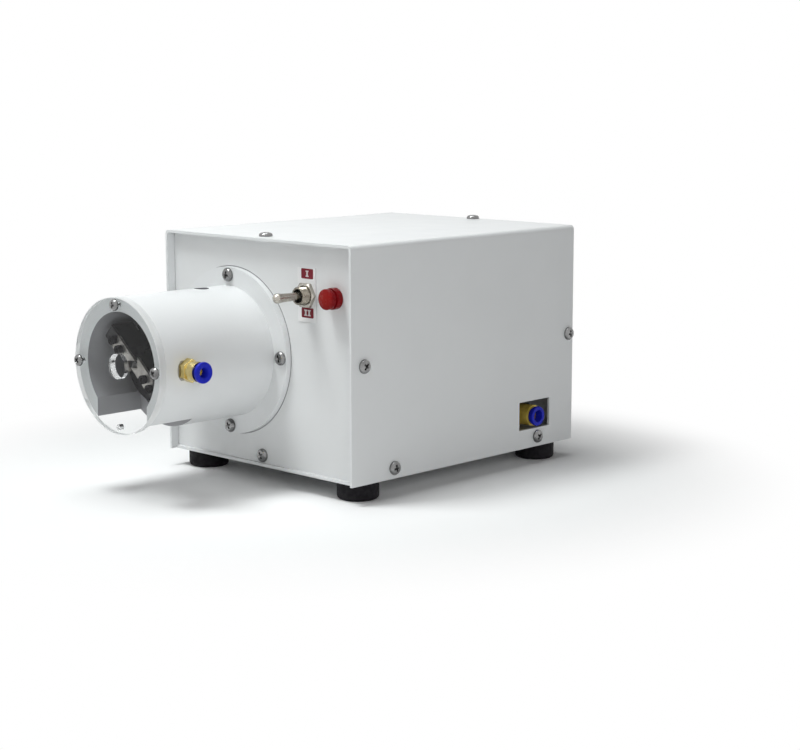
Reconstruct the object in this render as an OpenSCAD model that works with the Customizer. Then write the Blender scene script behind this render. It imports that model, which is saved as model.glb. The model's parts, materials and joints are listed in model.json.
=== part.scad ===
// Wire stripping and twisting machine, millimetres, +Z up, front towards -Y.
// The origin is on the floor, under the middle of the overall box.

/* [Cover] */
// Outer width of the sheet cover
cover_w = 178; // [162:1:200]
// Outer length of the sheet cover
cover_l = 216; // [196:1:240]
// Outer height of the sheet cover
cover_h = 150; // [138:1:170]
// Thickness of the cover sheet
sheet_t = 1.8; // [1.4:0.1:2.4]
// Outside radius of the cover's two bends
bend_r = 3; // [2.6:0.1:6]
// Gap between the cover and the plates inside it
cover_gap = 0.2; // [0.1:0.05:0.4]
// Height of the middle side screws above the cover's bottom
side_screw_h = 75; // [60:1:90]
// Distance of the lower side screws from the cover's front and rear edges
low_screw_inset = 37.5; // [30:0.5:45]
// Length of the tube port cut in the right side
port_l = 32; // [28:1:40]
// Height of the tube port
port_h = 19.5; // [18:0.5:24]
// Distance of the port's lower edge below the supply fitting's axis
port_drop = 8; // [7.6:0.2:9]
// Distance of the port's front edge in front of the supply fitting's axis
port_lead = 19; // [15:0.5:24]

/* [Frame] */
// Height of a rubber foot
foot_h = 12; // [8:0.5:20]
// Diameter of a rubber foot
foot_d = 27; // [20:1:32]
// Distance of the feet's centres from the cover's sides
foot_inset_x = 16; // [14:0.5:30]
// Distance of the feet's centres from the cover's front and rear edges
foot_inset_y = 21; // [18:0.5:30]
// Thickness of the bottom pan
pan_t = 2; // [1:0.5:3]
// How far the bottom pan reaches in front of the front plate
pan_lip = 2; // [0:0.5:3]
// Thickness of the base plate
base_t = 10; // [9:0.5:14]
// Thickness of the front and rear plates
plate_t = 10; // [9.5:0.5:14]
// How far the front plate lies behind the cover's front edge
recess = 6; // [3:0.5:12]
// Thickness left of the front plate at the switch and the lamp
skin_t = 3; // [2:0.5:4]

/* [Head] */
// Gap between the housing's flange and the cover's left side
flange_side_gap = 5.2; // [3:0.2:8]
// Height of the spindle above the cover's bottom
spindle_h = 74; // [70:0.5:78]
// Outer diameter of the head housing
head_d = 86; // [80:1:94]
// Wall of the head housing
head_wall = 9; // [8:0.5:10]
// Length of the head housing in front of the front plate
head_l = 91; // [83:1:110]
// Thickness of the housing's flange
flange_t = 4; // [3:0.5:5]
// Distance of the flange screws outside the housing
flange_reach = 7; // [6:0.5:8]
// Distance of the flange's edge outside its screws
flange_edge = 5; // [4.5:0.5:6]
// Width of the chip slot under the housing
slot_w = 50; // [40:1:54]
// Length of the chip slot from the housing's front face
slot_l = 34; // [20:1:40]
// Diameter of the access hole on top of the housing
access_d = 10; // [5:0.5:12]
// Distance of the access hole in front of the front plate
access_reach = 27; // [20:1:35]
// Distance of the blow-off fitting behind the housing's front face
blow_back = 16.5; // [15:0.5:20]
// Extra length of the blow-off fitting's barrel
blow_neck = 2; // [0:0.5:4]

/* [Guard] */
// Thickness of the clear guard disc
guard_t = 5; // [3:0.5:8]
// Diameter of the wire hole in the guard disc
wire_hole_d = 16; // [10:0.5:20]
// Distance of the guard screws from the disc's edge
guard_edge = 4.5; // [3.5:0.1:5]

/* [Rotor] */
// Diameter of the rotor that carries the blade arms
rotor_d = 52; // [50:1:60]
// Bore of the rotor around the cone
rotor_bore = 25.2; // [24:0.2:27]
// Distance of the rotor's front face behind the housing's front face
blade_room = 25; // [23:0.5:28]
// Thickness of the spindle's front flange
spindle_flange_t = 8; // [6:0.5:10]
// Gap between the front plate and the spindle's flange
flange_gap = 6; // [5:0.5:8]
// Angle of the blade arms seen from the front
arm_angle = 138; // [-180:1:180]
// Width of a blade arm
arm_w = 10; // [8:0.5:12]
// Side clearance of an arm in the rotor's slot
arm_gap = 0.3; // [0.2:0.05:0.5]
// Distance of the arm pivots from the spindle's axis
pivot_r = 18; // [17:0.5:19]
// Distance of the arm pivots behind the rotor's front face
pivot_back = 12; // [10:0.5:13]
// Diameter of the pivot pins
pin_d = 4; // [3:0.5:5]
// Distance from the pivot back to the arm's tail nose
tail_l = 20; // [18:0.5:22]
// Radius of the tail's nose
nose_r = 3.5; // [3:0.1:4]
// Thickness of a blade
blade_t = 2; // [1.5:0.1:2.5]
// Gap between the two blades along the spindle
blade_gap = 1.6; // [1.5:0.1:2.5]
// Half width of the open blade mouth
mouth_r = 3.5; // [3.4:0.1:4]

/* [Spindle] */
// Outer diameter of the spindle, the bearings' bore
spindle_d = 25; // [24:0.5:27]
// Outer diameter of a spindle bearing
bearing_d = 37; // [36:0.5:42]
// Width of a spindle bearing
bearing_w = 7; // [6:0.5:8]
// Outer diameter of the push tube
push_d = 14; // [12:0.5:15]
// Bore of the push tube
push_bore = 8; // [6:0.5:9]
// Half angle of the push tube's cone in degrees
cone_angle = 15; // [12:0.5:16]
// Stroke of the push tube
stroke = 8; // [5:0.5:8]
// Thickness of the bearing block
block_t = 12; // [11:0.5:14]
// Half width of the bearing block
block_half = 32; // [30:0.5:34]
// Distance of the bearing block behind the front plate's front face
block_depth = 90; // [88:0.5:94]

/* [Drive] */
// Radius of the spindle pulley's belt land
pulley_r = 27; // [22:0.5:28]
// Radius of the motor pulley's belt land
motor_pulley_r = 13.5; // [11:0.5:16]
// Width of a pulley with its rims
pulley_w = 22; // [18:0.5:24]
// Distance of the pulleys behind the front plate's front face
pulley_depth = 34; // [30:0.5:36]
// Thickness of the drive belt
belt_t = 2.2; // [1.6:0.1:2.6]
// Width of the drive belt
belt_w = 15; // [10:0.5:17]
// Height of the motor's axis above the base plate
motor_rise = 42; // [36:0.5:46]
// Diameter of the motor
motor_d = 56; // [50:1:62]
// Length of the motor
motor_l = 73; // [64:1:82]
// Diameter of the motor's shaft
shaft_d = 10; // [8:0.5:12]

/* [Air] */
// Side of the square air cylinder
cylinder_side = 38; // [36:0.5:40]
// Length of the air cylinder
cylinder_l = 32; // [31:0.5:36]
// Bore of the air cylinder
cylinder_bore = 25; // [22:0.5:28]
// Gap between the air cylinder and the cover's top
cylinder_drop = 3.7; // [2:0.1:6]
// Diameter of the piston rod
rod_d = 10; // [8:0.5:12]
// Diameter of the blow-off and inner air tube
tube_d = 6; // [4:0.5:6]
// Diameter of the supply tube
supply_d = 8; // [6:0.5:8]
// Gap between the supply fitting's hexagon and the base plate
inlet_gap = 0.34; // [0.3:0.02:1]

/* [Controls] */
// Distance of the toggle switch from the middle, towards the right
switch_right = 44; // [42:0.5:48]
// Distance of the switch and the lamp below the cover's top
switch_drop = 34; // [30:0.5:38]
// Diameter of the switch's threaded bushing
bushing_d = 11.5; // [10:0.5:12]
// How far the bushing stands out of the front plate
bushing_out = 8.4; // [6:0.2:10]
// Length of the lever in front of the bushing
lever_l = 20; // [14:0.5:24]
// Distance of the lamp from the switch
lamp_pitch = 25.5; // [23:0.5:27]
// Diameter of the lamp's lens
lamp_d = 13; // [10:0.5:14]
// How far the lamp stands out of the front plate
lamp_out = 10; // [6:0.5:14]

/* [Fits] */
// Radial gap of a running fit
run_gap = 0.05; // [0.02:0.01:0.08]
// Radial gap of a screw in its hole
screw_gap = 0.1; // [0.05:0.05:0.3]
// Gap between pieces that move past each other
clear_gap = 0.3; // [0.2:0.05:0.5]

/* [Hidden] */
$fn = 64;
hair = 0.01;
over = 1;

// Screw sizes: cover and panel screws are M4 pan heads, the others are socket heads
pan_head_d = 9;
pan_head_h = 2.6;
pan_dome = 1.8;
pan_shank_d = 4;
pan_shank_l = 9;
guard_head_d = 7.5;
guard_head_h = 2.4;
guard_shank_d = 3.5;
cross_w = 1.1;
cross_l = 4.6;
cross_deep = 1.4;
socket_share = 0.55;

// Heights
cover_z = foot_h;
base_z = cover_z + pan_t;
floor_z = base_z + base_t;
base_mid_z = base_z + base_t / 2;
cover_top_z = cover_z + cover_h;
plate_top_z = cover_top_z - sheet_t - cover_gap;
spindle_z = cover_z + spindle_h;

// Lengths: the overall box is centred on the origin
gland_out = 13;
front_reach = head_l + guard_t + guard_head_h - recess;
front_y = (front_reach - cover_l - gland_out) / 2;
panel_y = front_y + recess;
panel_back_y = panel_y + plate_t;
rear_back_y = front_y + cover_l;
rear_y = rear_back_y - plate_t;
plate_mid_y = panel_y + plate_t / 2;
rear_mid_y = rear_y + plate_t / 2;
inner_w = cover_w - 2 * sheet_t - 2 * cover_gap;

// Head
head_bore = head_d - 2 * head_wall;
flange_pcd = head_d + 2 * flange_reach;
flange_d = flange_pcd + 2 * flange_edge;
spindle_x = sheet_t + flange_side_gap + flange_d / 2 - cover_w / 2;
housing_y = panel_y - head_l;
guard_pcd = head_d - 2 * guard_edge;
guard_screw_angles = [0, 90, 180];
guard_hole_angle = 270;
guard_bite = 9;
guard_shank_l = guard_t + guard_bite;
blow_y = housing_y + blow_back;
spot_deep = 0.6;
blow_seat = head_d / 2 - spot_deep;
blow_seat_d = 16;

// Rotor and arms, with the distance forward of the pivot as first coordinate
flange_back_y = panel_y - flange_gap;
flange_front_y = flange_back_y - spindle_flange_t;
rotor_l = head_l - flange_gap - spindle_flange_t - blade_room;
rotor_front_y = flange_front_y - rotor_l;
pivot_y = rotor_front_y + pivot_back;
arm_slot_w = arm_w + 2 * arm_gap;
boss_r = 5.5;
seat_a = 24;
seat_b = seat_a + blade_t + blade_gap;
head_low_r = 9.5;
head_high_r = 30;
head_back = pivot_back + clear_gap;
arm_slot_room = 2.5;
slot_end = tail_l + nose_r + arm_slot_room;
blade_screw_r = [13, 21];
blade_head_d = 5.5;
blade_head_h = 3;
blade_shank_d = 3;
blade_shank_l = 8;
cone_tan = tan(cone_angle);
cone_mid_r = 8.2;
cone_front = 5;
cone_spare = 1;
cone_rear = stroke + cone_spare;
nose_v = cone_mid_r + (nose_r + clear_gap) / cos(cone_angle);
ring_u = 18;
ring_wire_r = 1.5;
ring_sink = 1;
ring_r = rotor_d / 2 - ring_sink;
ring_seat_r = ring_r - ring_wire_r - clear_gap;
ring_groove_w = 2 * ring_wire_r + 2 * clear_gap;
nub_w = 4;
nub_gap = 0.1;
nub_corner_r = ring_r - ring_wire_r - nub_gap;
nub_r = sqrt(nub_corner_r * nub_corner_r - arm_w * arm_w / 4);
rotor_screw_edge = 7;
rotor_screw_r = rotor_d / 2 - rotor_screw_edge;
rotor_screw_turns = [60, 120, 240, 300];
rotor_shank_d = 4;
rotor_head_d = 7;
rotor_head_h = 4;

// Spindle, with depths behind the front plate's front face
front_bearing_depth = plate_t - bearing_w;
ring_wall = 2;
shoulder_d = spindle_d + 2 * ring_wall;
shoulder_gap = 1.5;
inner_ring_d = shoulder_d + 2 * clear_gap;
nut_wall = 2.5;
nut_d = spindle_d + 2 * nut_wall;
nut_l = 12;
nut_slot = 3;
nut_depth = block_depth + bearing_w;
spindle_spare = 1;
spindle_end = nut_depth + nut_l + spindle_spare;
collar_room = 2;
collar_depth = spindle_end + stroke + collar_room;
collar_rim_t = 5;
collar_r = 16;
collar_core_r = 10;
fork_t = 8;
fork_depth = collar_depth + collar_rim_t + clear_gap;
groove_w = fork_t + 2 * clear_gap;
collar_l = 2 * collar_rim_t + groove_w;
hub_wall = 2.5;
hub_r = spindle_d / 2 + hub_wall;
fork_side = 4;
fork_half = collar_r + fork_side;
fork_leg = 6;
fork_head = 10;

// Drive
rim_t = 2;
rim_proud = 0.6;
rim_h = belt_t + clear_gap + rim_proud;
belt_depth = pulley_depth + (pulley_w - belt_w) / 2;
motor_x = (spindle_x + block_half + cover_w / 2 - sheet_t) / 2;
motor_z = floor_z + motor_rise;
bracket_t = 10;
bracket_gap = 6;
bracket_wall = 3;
bracket_depth = pulley_depth + pulley_w + bracket_gap;
bracket_half = motor_d / 2 + bracket_wall;
motor_depth = bracket_depth + bracket_t;
motor_rear_y = panel_y + motor_depth + motor_l;
motor_wall = 4;
stator_share = 0.6;
stator_bore = motor_d * stator_share;
stator_l = 46;
core_l = 44;
motor_screw_r = (motor_d - motor_wall) / 2;
motor_screw_d = 2.5;
motor_screw_bite = 8;

// Walls of a push-in fitting around its tube
thread_wall = 1.8;
barrel_wall = 3.2;
hex_wall = 3.5;

// Air
cylinder_z = cover_top_z - sheet_t - cylinder_drop - cylinder_side / 2;
cylinder_rise = cylinder_z - spindle_z;
cylinder_depth = block_depth - cylinder_l;
cylinder_end_t = 4;
piston_t = 8;
piston_back = 2;
stud_d = 6;
rod_nut_t = 5;
rod_nut_af = 10;
guide_d = 8;
guide_side = 26;
guide_drop = 14;
guide_spare = 6;
guide_end = fork_depth + fork_t + guide_spare;
spring_wire_r = 0.9;
spring_turns = 4;
spring_gap = 1.5;
spring_r = cylinder_bore / 2 - spring_wire_r - spring_gap;
inlet_y = (motor_rear_y + rear_y) / 2;
inlet_z = floor_z + hex_af(supply_d) / 2 / cos(30) + inlet_gap;
manifold_w = 24;
manifold_l = 32;
manifold_h = 22;
manifold_back = 21;
manifold_x = cover_w / 2 - manifold_back;
manifold_screw_edge = 4.5;
manifold_screw_y = manifold_l / 2 - manifold_screw_edge;
outlet_x = manifold_x - manifold_w / 2;
cyl_port_back = 8;
cyl_port_y = panel_y + block_depth - cyl_port_back;
cyl_side_x = spindle_x + cylinder_side / 2;
cyl_thread_l = 5;
bend_of_tube = 18;
tube_wall = 1;
tube_seat = 3;

// Push-in fittings: thread, hexagon, barrel and release collar, from the seat outwards
tube_play = 0.1;
neck_in = 1.5;
hex_l = 5;
barrel_l = 5;
collar_out = 4.5;
collar_press = 1.5;
collar_wall = 2.6;
blow_collar_wall = 3.6;
collar_neck = 0.9;
socket_l = 12;
air_way_d = 3.5;
inlet_thread_l = 10;
inlet_proud = 1;
inlet_neck = manifold_back + inlet_proud - hex_l - barrel_l - collar_out;

// Controls
switch_z = cover_top_z - switch_drop;
switch_x = switch_right;
lamp_x = switch_right + lamp_pitch;
legend_w = 16;
legend_h = 34;
legend_t = 0.8;
nut_land = 1.75;
nut_af = bushing_d + 2 * nut_land;
nut_t = 2.6;
case_w = 18;
case_h = 30;
case_l = 24;
bushing_wall = 1.6;
lever_ball_r = bushing_d / 2 - bushing_wall - clear_gap;
lever_pivot_in = 3.2;
lever_pivot_out = bushing_out - lever_pivot_in;
lever_neck_d = 3.4;
lever_top_d = 4.8;
lever_tip_d = 5.6;
lamp_stem_step = 2;
lamp_stem_d = lamp_d - 2 * lamp_stem_step;
lamp_body_step = 0.5;
lamp_body_d = lamp_d - 2 * lamp_body_step;
lamp_flange_t = 4.5;
lamp_flange_rim = 0.3;
lamp_waist_t = 1.3;
lamp_waist_cut = 1.2;
lamp_dome = 1.2;
lamp_body_l = 22;
pocket_margin = 4;

// Cable gland
gland_x = 45;
gland_d = 12;
gland_bore = 7;
gland_af = 17;
gland_gap = 2;
gland_z = floor_z + manifold_h + gland_gap + gland_af / 2 / cos(30);
gland_cap_d = 15;
gland_dome = 3;
gland_lip = 2;
gland_spare = 2;
gland_hex_t = 4;
gland_nut_t = 4;

// Stand screws, M5 socket heads let into the base plate from below
stand_shank_d = 5;
stand_head_d = 8.5;
stand_head_h = 5;
stand_bite = 10;
block_screw_edge = 12;
block_screw_x = block_half - block_screw_edge;
bracket_screw_edge = 8;
bracket_screw_x = bracket_half - bracket_screw_edge;
block_mid_y = panel_y + block_depth + block_t / 2;
bracket_mid_y = panel_y + bracket_depth + bracket_t / 2;
stand_screws_at = [
    [spindle_x - block_screw_x, block_mid_y],
    [spindle_x + block_screw_x, block_mid_y],
    [motor_x - bracket_screw_x, bracket_mid_y],
    [motor_x + bracket_screw_x, bracket_mid_y],
    [manifold_x - manifold_w / 2, inlet_y - manifold_screw_y],
    [manifold_x - manifold_w / 2, inlet_y + manifold_screw_y]
];

// Feet
foot_x = cover_w / 2 - foot_inset_x;
foot_y = [front_y + foot_inset_y, rear_back_y - foot_inset_y];
foot_head_d = 9;
foot_head_h = 3;
foot_well_d = 13;
foot_well_h = foot_h / 2;
foot_chamfer = 1.5;
foot_bite = 8;

white_paint = [0.92, 0.92, 0.93];
steel = [0.72, 0.73, 0.75];
nickel = [0.8, 0.8, 0.82];
black_steel = [0.12, 0.12, 0.13];
brass = [0.72, 0.58, 0.26];
blue_plastic = [0.18, 0.2, 0.74];
black_plastic = [0.1, 0.1, 0.1];
aluminium = [0.78, 0.79, 0.8];

// Local z runs to the front, local x to the right and local y up
module facing(x, y, z) {
    translate([x, y, z]) rotate([90, 0, 0]) children();
}

// On the spindle's axis, at a depth behind the front plate's front face
module on_spindle(depth) {
    facing(spindle_x, panel_y + depth, spindle_z) children();
}

// On the motor's axis, at a depth behind the front plate's front face
module on_motor(depth) {
    facing(motor_x, panel_y + depth, motor_z) children();
}

// Local z runs to the right
module sideways(x, y, z) {
    translate([x, y, z]) rotate([0, 90, 0]) children();
}

// A tube with its lower end on the local floor
module tube(outer_d, bore_d, length) {
    difference() {
        cylinder(d = outer_d, h = length);
        translate([0, 0, -over]) cylinder(d = bore_d, h = length + 2 * over);
    }
}

// A hexagon with a given width across its flats
module hexagon(across, height) {
    cylinder(d = across / cos(30), h = height, $fn = 6);
}

// Pan head screw with a cross recess; the head's seat is at the local floor
module pan_screw(head_d, head_h, shank_d, shank_l) {
    edge_h = head_h - pan_dome;
    dome_r = (head_d * head_d / 4 + pan_dome * pan_dome) / (2 * pan_dome);
    difference() {
        union() {
            cylinder(d = head_d, h = edge_h);
            intersection() {
                translate([0, 0, head_h - dome_r]) sphere(r = dome_r);
                cylinder(d = head_d, h = head_h);
            }
            translate([0, 0, -shank_l]) cylinder(d = shank_d, h = shank_l + hair);
        }
        for (turn = [0, 90]) {
            rotate(turn) translate([-cross_l / 2, -cross_w / 2, head_h - cross_deep])
                cube([cross_l, cross_w, cross_deep + over]);
        }
    }
}

// Socket head screw; the head's seat is at the local floor
module socket_screw(head_d, head_h, shank_d, shank_l) {
    difference() {
        union() {
            cylinder(d = head_d, h = head_h);
            translate([0, 0, -shank_l]) cylinder(d = shank_d, h = shank_l + hair);
        }
        translate([0, 0, head_h / 2]) hexagon(head_d * socket_share, head_h);
    }
}

// Copies at the places of the cover's screws, local z pointing out of the cover
module at_cover_screws() {
    for (y = [plate_mid_y, rear_mid_y]) {
        translate([0, y, cover_top_z]) children();
        for (side = [-1, 1]) {
            sideways(side * cover_w / 2, y, cover_z + side_screw_h) rotate([side < 0 ? 180 : 0, 0, 0]) children();
        }
    }
    for (y = [front_y + low_screw_inset, rear_back_y - low_screw_inset], side = [-1, 1]) {
        sideways(side * cover_w / 2, y, base_mid_z) rotate([side < 0 ? 180 : 0, 0, 0]) children();
    }
}

// Copies at the places of the front and rear plates' screws into the base plate
module at_base_screws() {
    facing(0, panel_y, base_mid_z) children();
    facing(0, rear_back_y, base_mid_z) rotate([180, 0, 0]) children();
}

// Copies at the places of the flange screws, local floor on the front plate
module at_flange_screws() {
    for (turn = [0 : 90 : 270]) {
        on_spindle(0) rotate(turn) translate([flange_pcd / 2, 0, 0]) children();
    }
}

module at_feet() {
    for (x = [-foot_x, foot_x], y = foot_y) {
        translate([x, y, 0]) children();
    }
}

// Outline of the cover's sheet: a square with two rounded upper corners, standing on the local floor
module arch_outline(width, height, radius) {
    translate([-width / 2, 0]) square([width, height - radius]);
    translate([-width / 2 + radius, 0]) square([width - 2 * radius, height]);
    for (side = [-1, 1]) {
        translate([side * (width / 2 - radius), height - radius]) circle(r = radius);
    }
}

module cover() {
    color(white_paint)
    difference() {
        facing(0, rear_back_y, cover_z) linear_extrude(cover_l) difference() {
            arch_outline(cover_w, cover_h, bend_r);
            translate([0, -over])
                arch_outline(cover_w - 2 * sheet_t, cover_h - sheet_t + over, bend_r - sheet_t);
        }
        at_cover_screws() translate([0, 0, -2 * sheet_t])
            cylinder(d = pan_shank_d + 2 * screw_gap, h = 3 * sheet_t);
        translate([cover_w / 2 - 2 * sheet_t, inlet_y - port_lead, inlet_z - port_drop])
            cube([3 * sheet_t, port_l, port_h]);
    }
}

module cover_screws() {
    color(nickel)
    at_cover_screws() pan_screw(pan_head_d, pan_head_h, pan_shank_d, pan_shank_l);
}

module bottom_pan() {
    color(white_paint)
    difference() {
        translate([-inner_w / 2, panel_y - pan_lip, cover_z])
            cube([inner_w, rear_back_y - panel_y + pan_lip, pan_t]);
        at_feet() cylinder(d = pan_shank_d + 2 * screw_gap, h = base_z + over);
    }
}

module base_plate() {
    color(aluminium)
    difference() {
        translate([-inner_w / 2, panel_back_y, base_z]) cube([inner_w, rear_y - panel_back_y, base_t]);
        at_feet() cylinder(d = pan_shank_d + 2 * screw_gap, h = base_z + foot_bite + over);
        at_cover_screws() translate([0, 0, -pan_shank_l - over])
            cylinder(d = pan_shank_d + 2 * screw_gap, h = pan_shank_l + over);
        at_base_screws() translate([0, 0, -plate_t - pan_shank_l - over])
            cylinder(d = pan_shank_d + 2 * screw_gap, h = plate_t + pan_shank_l + over);
        for (place = stand_screws_at) {
            translate([place.x, place.y, base_z - over])
                cylinder(d = stand_head_d + 2 * clear_gap, h = stand_head_h + over);
            translate([place.x, place.y, base_z])
                cylinder(d = stand_shank_d + 2 * screw_gap, h = base_t + over);
        }
    }
}

module front_plate() {
    pocket_left = switch_x - case_w / 2 - pocket_margin;
    pocket_right = (lamp_x + lamp_d / 2 + inner_w / 2) / 2;
    pocket_h = case_h + 2 * pocket_margin;
    color(white_paint)
    difference() {
        facing(0, panel_back_y, base_z) linear_extrude(plate_t)
            arch_outline(inner_w, plate_top_z - base_z, bend_r);
        on_spindle(plate_t + over) cylinder(d = bearing_d, h = bearing_w + over);
        on_spindle(plate_t + over) cylinder(d = shoulder_d + 2 * shoulder_gap, h = plate_t + 2 * over);
        at_cover_screws() translate([0, 0, -pan_shank_l - over])
            cylinder(d = pan_shank_d + 2 * screw_gap, h = pan_shank_l + over);
        at_base_screws() translate([0, 0, -plate_t - over])
            cylinder(d = pan_shank_d + 2 * screw_gap, h = plate_t + 2 * over);
        at_flange_screws() translate([0, 0, -pan_shank_l])
            cylinder(d = pan_shank_d + 2 * screw_gap, h = pan_shank_l + over);
        translate([pocket_left, panel_y + skin_t, switch_z - pocket_h / 2])
            cube([pocket_right - pocket_left, plate_t, pocket_h]);
        facing(switch_x, panel_back_y, switch_z)
            cylinder(d = bushing_d + 2 * screw_gap, h = plate_t + over);
        facing(lamp_x, panel_back_y, switch_z)
            cylinder(d = lamp_stem_d + 2 * screw_gap, h = plate_t + over);
    }
}

module rear_plate() {
    color(white_paint)
    difference() {
        facing(0, rear_back_y, base_z) linear_extrude(plate_t)
            arch_outline(inner_w, plate_top_z - base_z, bend_r);
        at_cover_screws() translate([0, 0, -pan_shank_l - over])
            cylinder(d = pan_shank_d + 2 * screw_gap, h = pan_shank_l + over);
        at_base_screws() translate([0, 0, -plate_t - over])
            cylinder(d = pan_shank_d + 2 * screw_gap, h = plate_t + 2 * over);
        facing(gland_x, rear_back_y + over, gland_z)
            cylinder(d = gland_d + 2 * screw_gap, h = plate_t + 2 * over);
    }
}

// Flange screws and the screws that hold the front and rear plates to the base plate
module panel_screws() {
    color(nickel) {
        at_flange_screws() translate([0, 0, flange_t])
            pan_screw(pan_head_d, pan_head_h, pan_shank_d, flange_t + pan_shank_l - over);
        at_base_screws() pan_screw(pan_head_d, pan_head_h, pan_shank_d, plate_t + pan_shank_l);
    }
}

module rubber_feet() {
    color(black_plastic)
    at_feet() difference() {
        union() {
            cylinder(d1 = foot_d - 2 * foot_chamfer, d2 = foot_d, h = foot_chamfer);
            translate([0, 0, foot_chamfer]) cylinder(d = foot_d, h = foot_h - foot_chamfer);
        }
        translate([0, 0, -over]) cylinder(d = foot_well_d, h = foot_well_h + over);
        cylinder(d = pan_shank_d + 2 * screw_gap, h = foot_h + over);
    }
}

module foot_screws() {
    color(nickel)
    at_feet() translate([0, 0, foot_well_h]) rotate([180, 0, 0])
        pan_screw(foot_head_d, foot_head_h, pan_shank_d, base_z + foot_bite - foot_well_h);
}

module head_housing() {
    color(white_paint)
    difference() {
        union() {
            on_spindle(0) cylinder(d = head_d, h = head_l);
            on_spindle(0) cylinder(d = flange_d, h = flange_t);
        }
        on_spindle(over) cylinder(d = head_bore, h = head_l + 2 * over);
        on_spindle(0) translate([-slot_w / 2, -head_d, head_l - slot_l]) cube([slot_w, head_d, slot_l + over]);
        at_flange_screws() translate([0, 0, -over])
            cylinder(d = pan_shank_d + 2 * screw_gap, h = flange_t + 2 * over);
        for (turn = guard_screw_angles) {
            on_spindle(0) rotate(turn) translate([guard_pcd / 2, 0, head_l + guard_t - guard_shank_l - over])
                cylinder(d = guard_shank_d + 2 * screw_gap, h = guard_shank_l + over);
        }
        translate([spindle_x, panel_y - access_reach, spindle_z]) cylinder(d = access_d, h = head_d);
        sideways(spindle_x, blow_y, spindle_z) cylinder(d = thread_d(tube_d) + 2 * screw_gap, h = head_d);
        sideways(spindle_x + blow_seat, blow_y, spindle_z) cylinder(d = blow_seat_d, h = head_d);
    }
}

module guard_disc() {
    color([0.85, 0.92, 0.95, 0.4])
    difference() {
        on_spindle(-head_l) cylinder(d = head_d, h = guard_t);
        on_spindle(-head_l + over) cylinder(d = wire_hole_d, h = guard_t + 2 * over);
        for (turn = concat(guard_screw_angles, [guard_hole_angle])) {
            on_spindle(-head_l + over) rotate(turn) translate([guard_pcd / 2, 0, 0])
                cylinder(d = guard_shank_d + 2 * screw_gap, h = guard_t + 2 * over);
        }
    }
}

module guard_screws() {
    color(nickel)
    for (turn = guard_screw_angles) {
        on_spindle(-head_l - guard_t) rotate(turn) translate([guard_pcd / 2, 0, 0])
            pan_screw(guard_head_d, guard_head_h, guard_shank_d, guard_shank_l);
    }
}

// Sizes of a push-in fitting that follow from its tube
function thread_d(hose_d) = hose_d + 2 * thread_wall;
function barrel_d(hose_d) = hose_d + 2 * barrel_wall;
function hex_af(hose_d) = hose_d + 2 * hex_wall;
function neck_d(hose_d) = hose_d + 2 * tube_play + 2 * collar_neck;

// Brass body of a push-in fitting; its seat is at the local floor and its tube leaves along local z
module push_in_body(hose_d, thread_l, neck_l) {
    body_l = neck_l + hex_l + barrel_l;
    difference() {
        union() {
            translate([0, 0, -thread_l]) cylinder(d = thread_d(hose_d), h = thread_l + hair);
            hexagon(hex_af(hose_d), hex_l);
            cylinder(d = barrel_d(hose_d), h = body_l);
        }
        translate([0, 0, -thread_l - over]) cylinder(d = air_way_d, h = thread_l + body_l + 2 * over);
        translate([0, 0, body_l - socket_l + collar_out])
            cylinder(d = hose_d + 2 * run_gap, h = socket_l + over);
        translate([0, 0, body_l - collar_press - neck_in - over])
            cylinder(d = neck_d(hose_d) + 2 * clear_gap, h = collar_press + neck_in + 2 * over);
    }
}

// Release collar of a push-in fitting: a flanged ring whose neck slides into the body
module push_in_collar(hose_d, wall, neck_l) {
    body_l = neck_l + hex_l + barrel_l;
    translate([0, 0, body_l]) difference() {
        union() {
            translate([0, 0, -neck_in]) cylinder(d = neck_d(hose_d), h = neck_in + collar_out);
            translate([0, 0, collar_press + clear_gap])
                cylinder(d = hose_d + 2 * wall, h = collar_out - collar_press - clear_gap);
        }
        translate([0, 0, -neck_in - over])
            cylinder(d = hose_d + 2 * tube_play, h = neck_in + collar_out + 2 * over);
    }
}

module blow_fitting() {
    color(brass)
    sideways(spindle_x + blow_seat, blow_y, spindle_z)
        push_in_body(tube_d, blow_seat - head_bore / 2 + over, blow_neck);
}

module blow_collar() {
    color(blue_plastic)
    sideways(spindle_x + blow_seat, blow_y, spindle_z) push_in_collar(tube_d, blow_collar_wall, blow_neck);
}

module legend_plate() {
    color(aluminium)
    difference() {
        translate([switch_x - legend_w / 2, panel_y - legend_t, switch_z - legend_h / 2])
            cube([legend_w, legend_t, legend_h]);
        facing(switch_x, panel_back_y, switch_z)
            cylinder(d = bushing_d + 2 * screw_gap, h = plate_t + legend_t + over);
    }
}

module switch_case() {
    color(black_plastic)
    translate([switch_x - case_w / 2, panel_y + skin_t, switch_z - case_h / 2]) cube([case_w, case_l, case_h]);
}

module switch_bushing() {
    socket_deep = bushing_out - lever_pivot_out + lever_ball_r + clear_gap;
    color(nickel)
    facing(switch_x, panel_y + skin_t, switch_z) difference() {
        cylinder(d = bushing_d, h = skin_t + bushing_out);
        translate([0, 0, skin_t + bushing_out - socket_deep])
            cylinder(r = lever_ball_r + clear_gap, h = socket_deep + over);
    }
}

module switch_nut() {
    color(nickel)
    facing(switch_x, panel_y - legend_t, switch_z) difference() {
        hexagon(nut_af, nut_t);
        translate([0, 0, -over]) cylinder(d = bushing_d + 2 * screw_gap, h = nut_t + 2 * over);
    }
}

module toggle_lever() {
    neck_l = bushing_out - lever_pivot_out + lever_l - lever_tip_d / 2;
    color(nickel)
    facing(switch_x, panel_y - lever_pivot_out, switch_z) {
        sphere(r = lever_ball_r);
        cylinder(d1 = lever_neck_d, d2 = lever_top_d, h = neck_l);
        translate([0, 0, neck_l]) sphere(d = lever_tip_d);
    }
}

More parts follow.
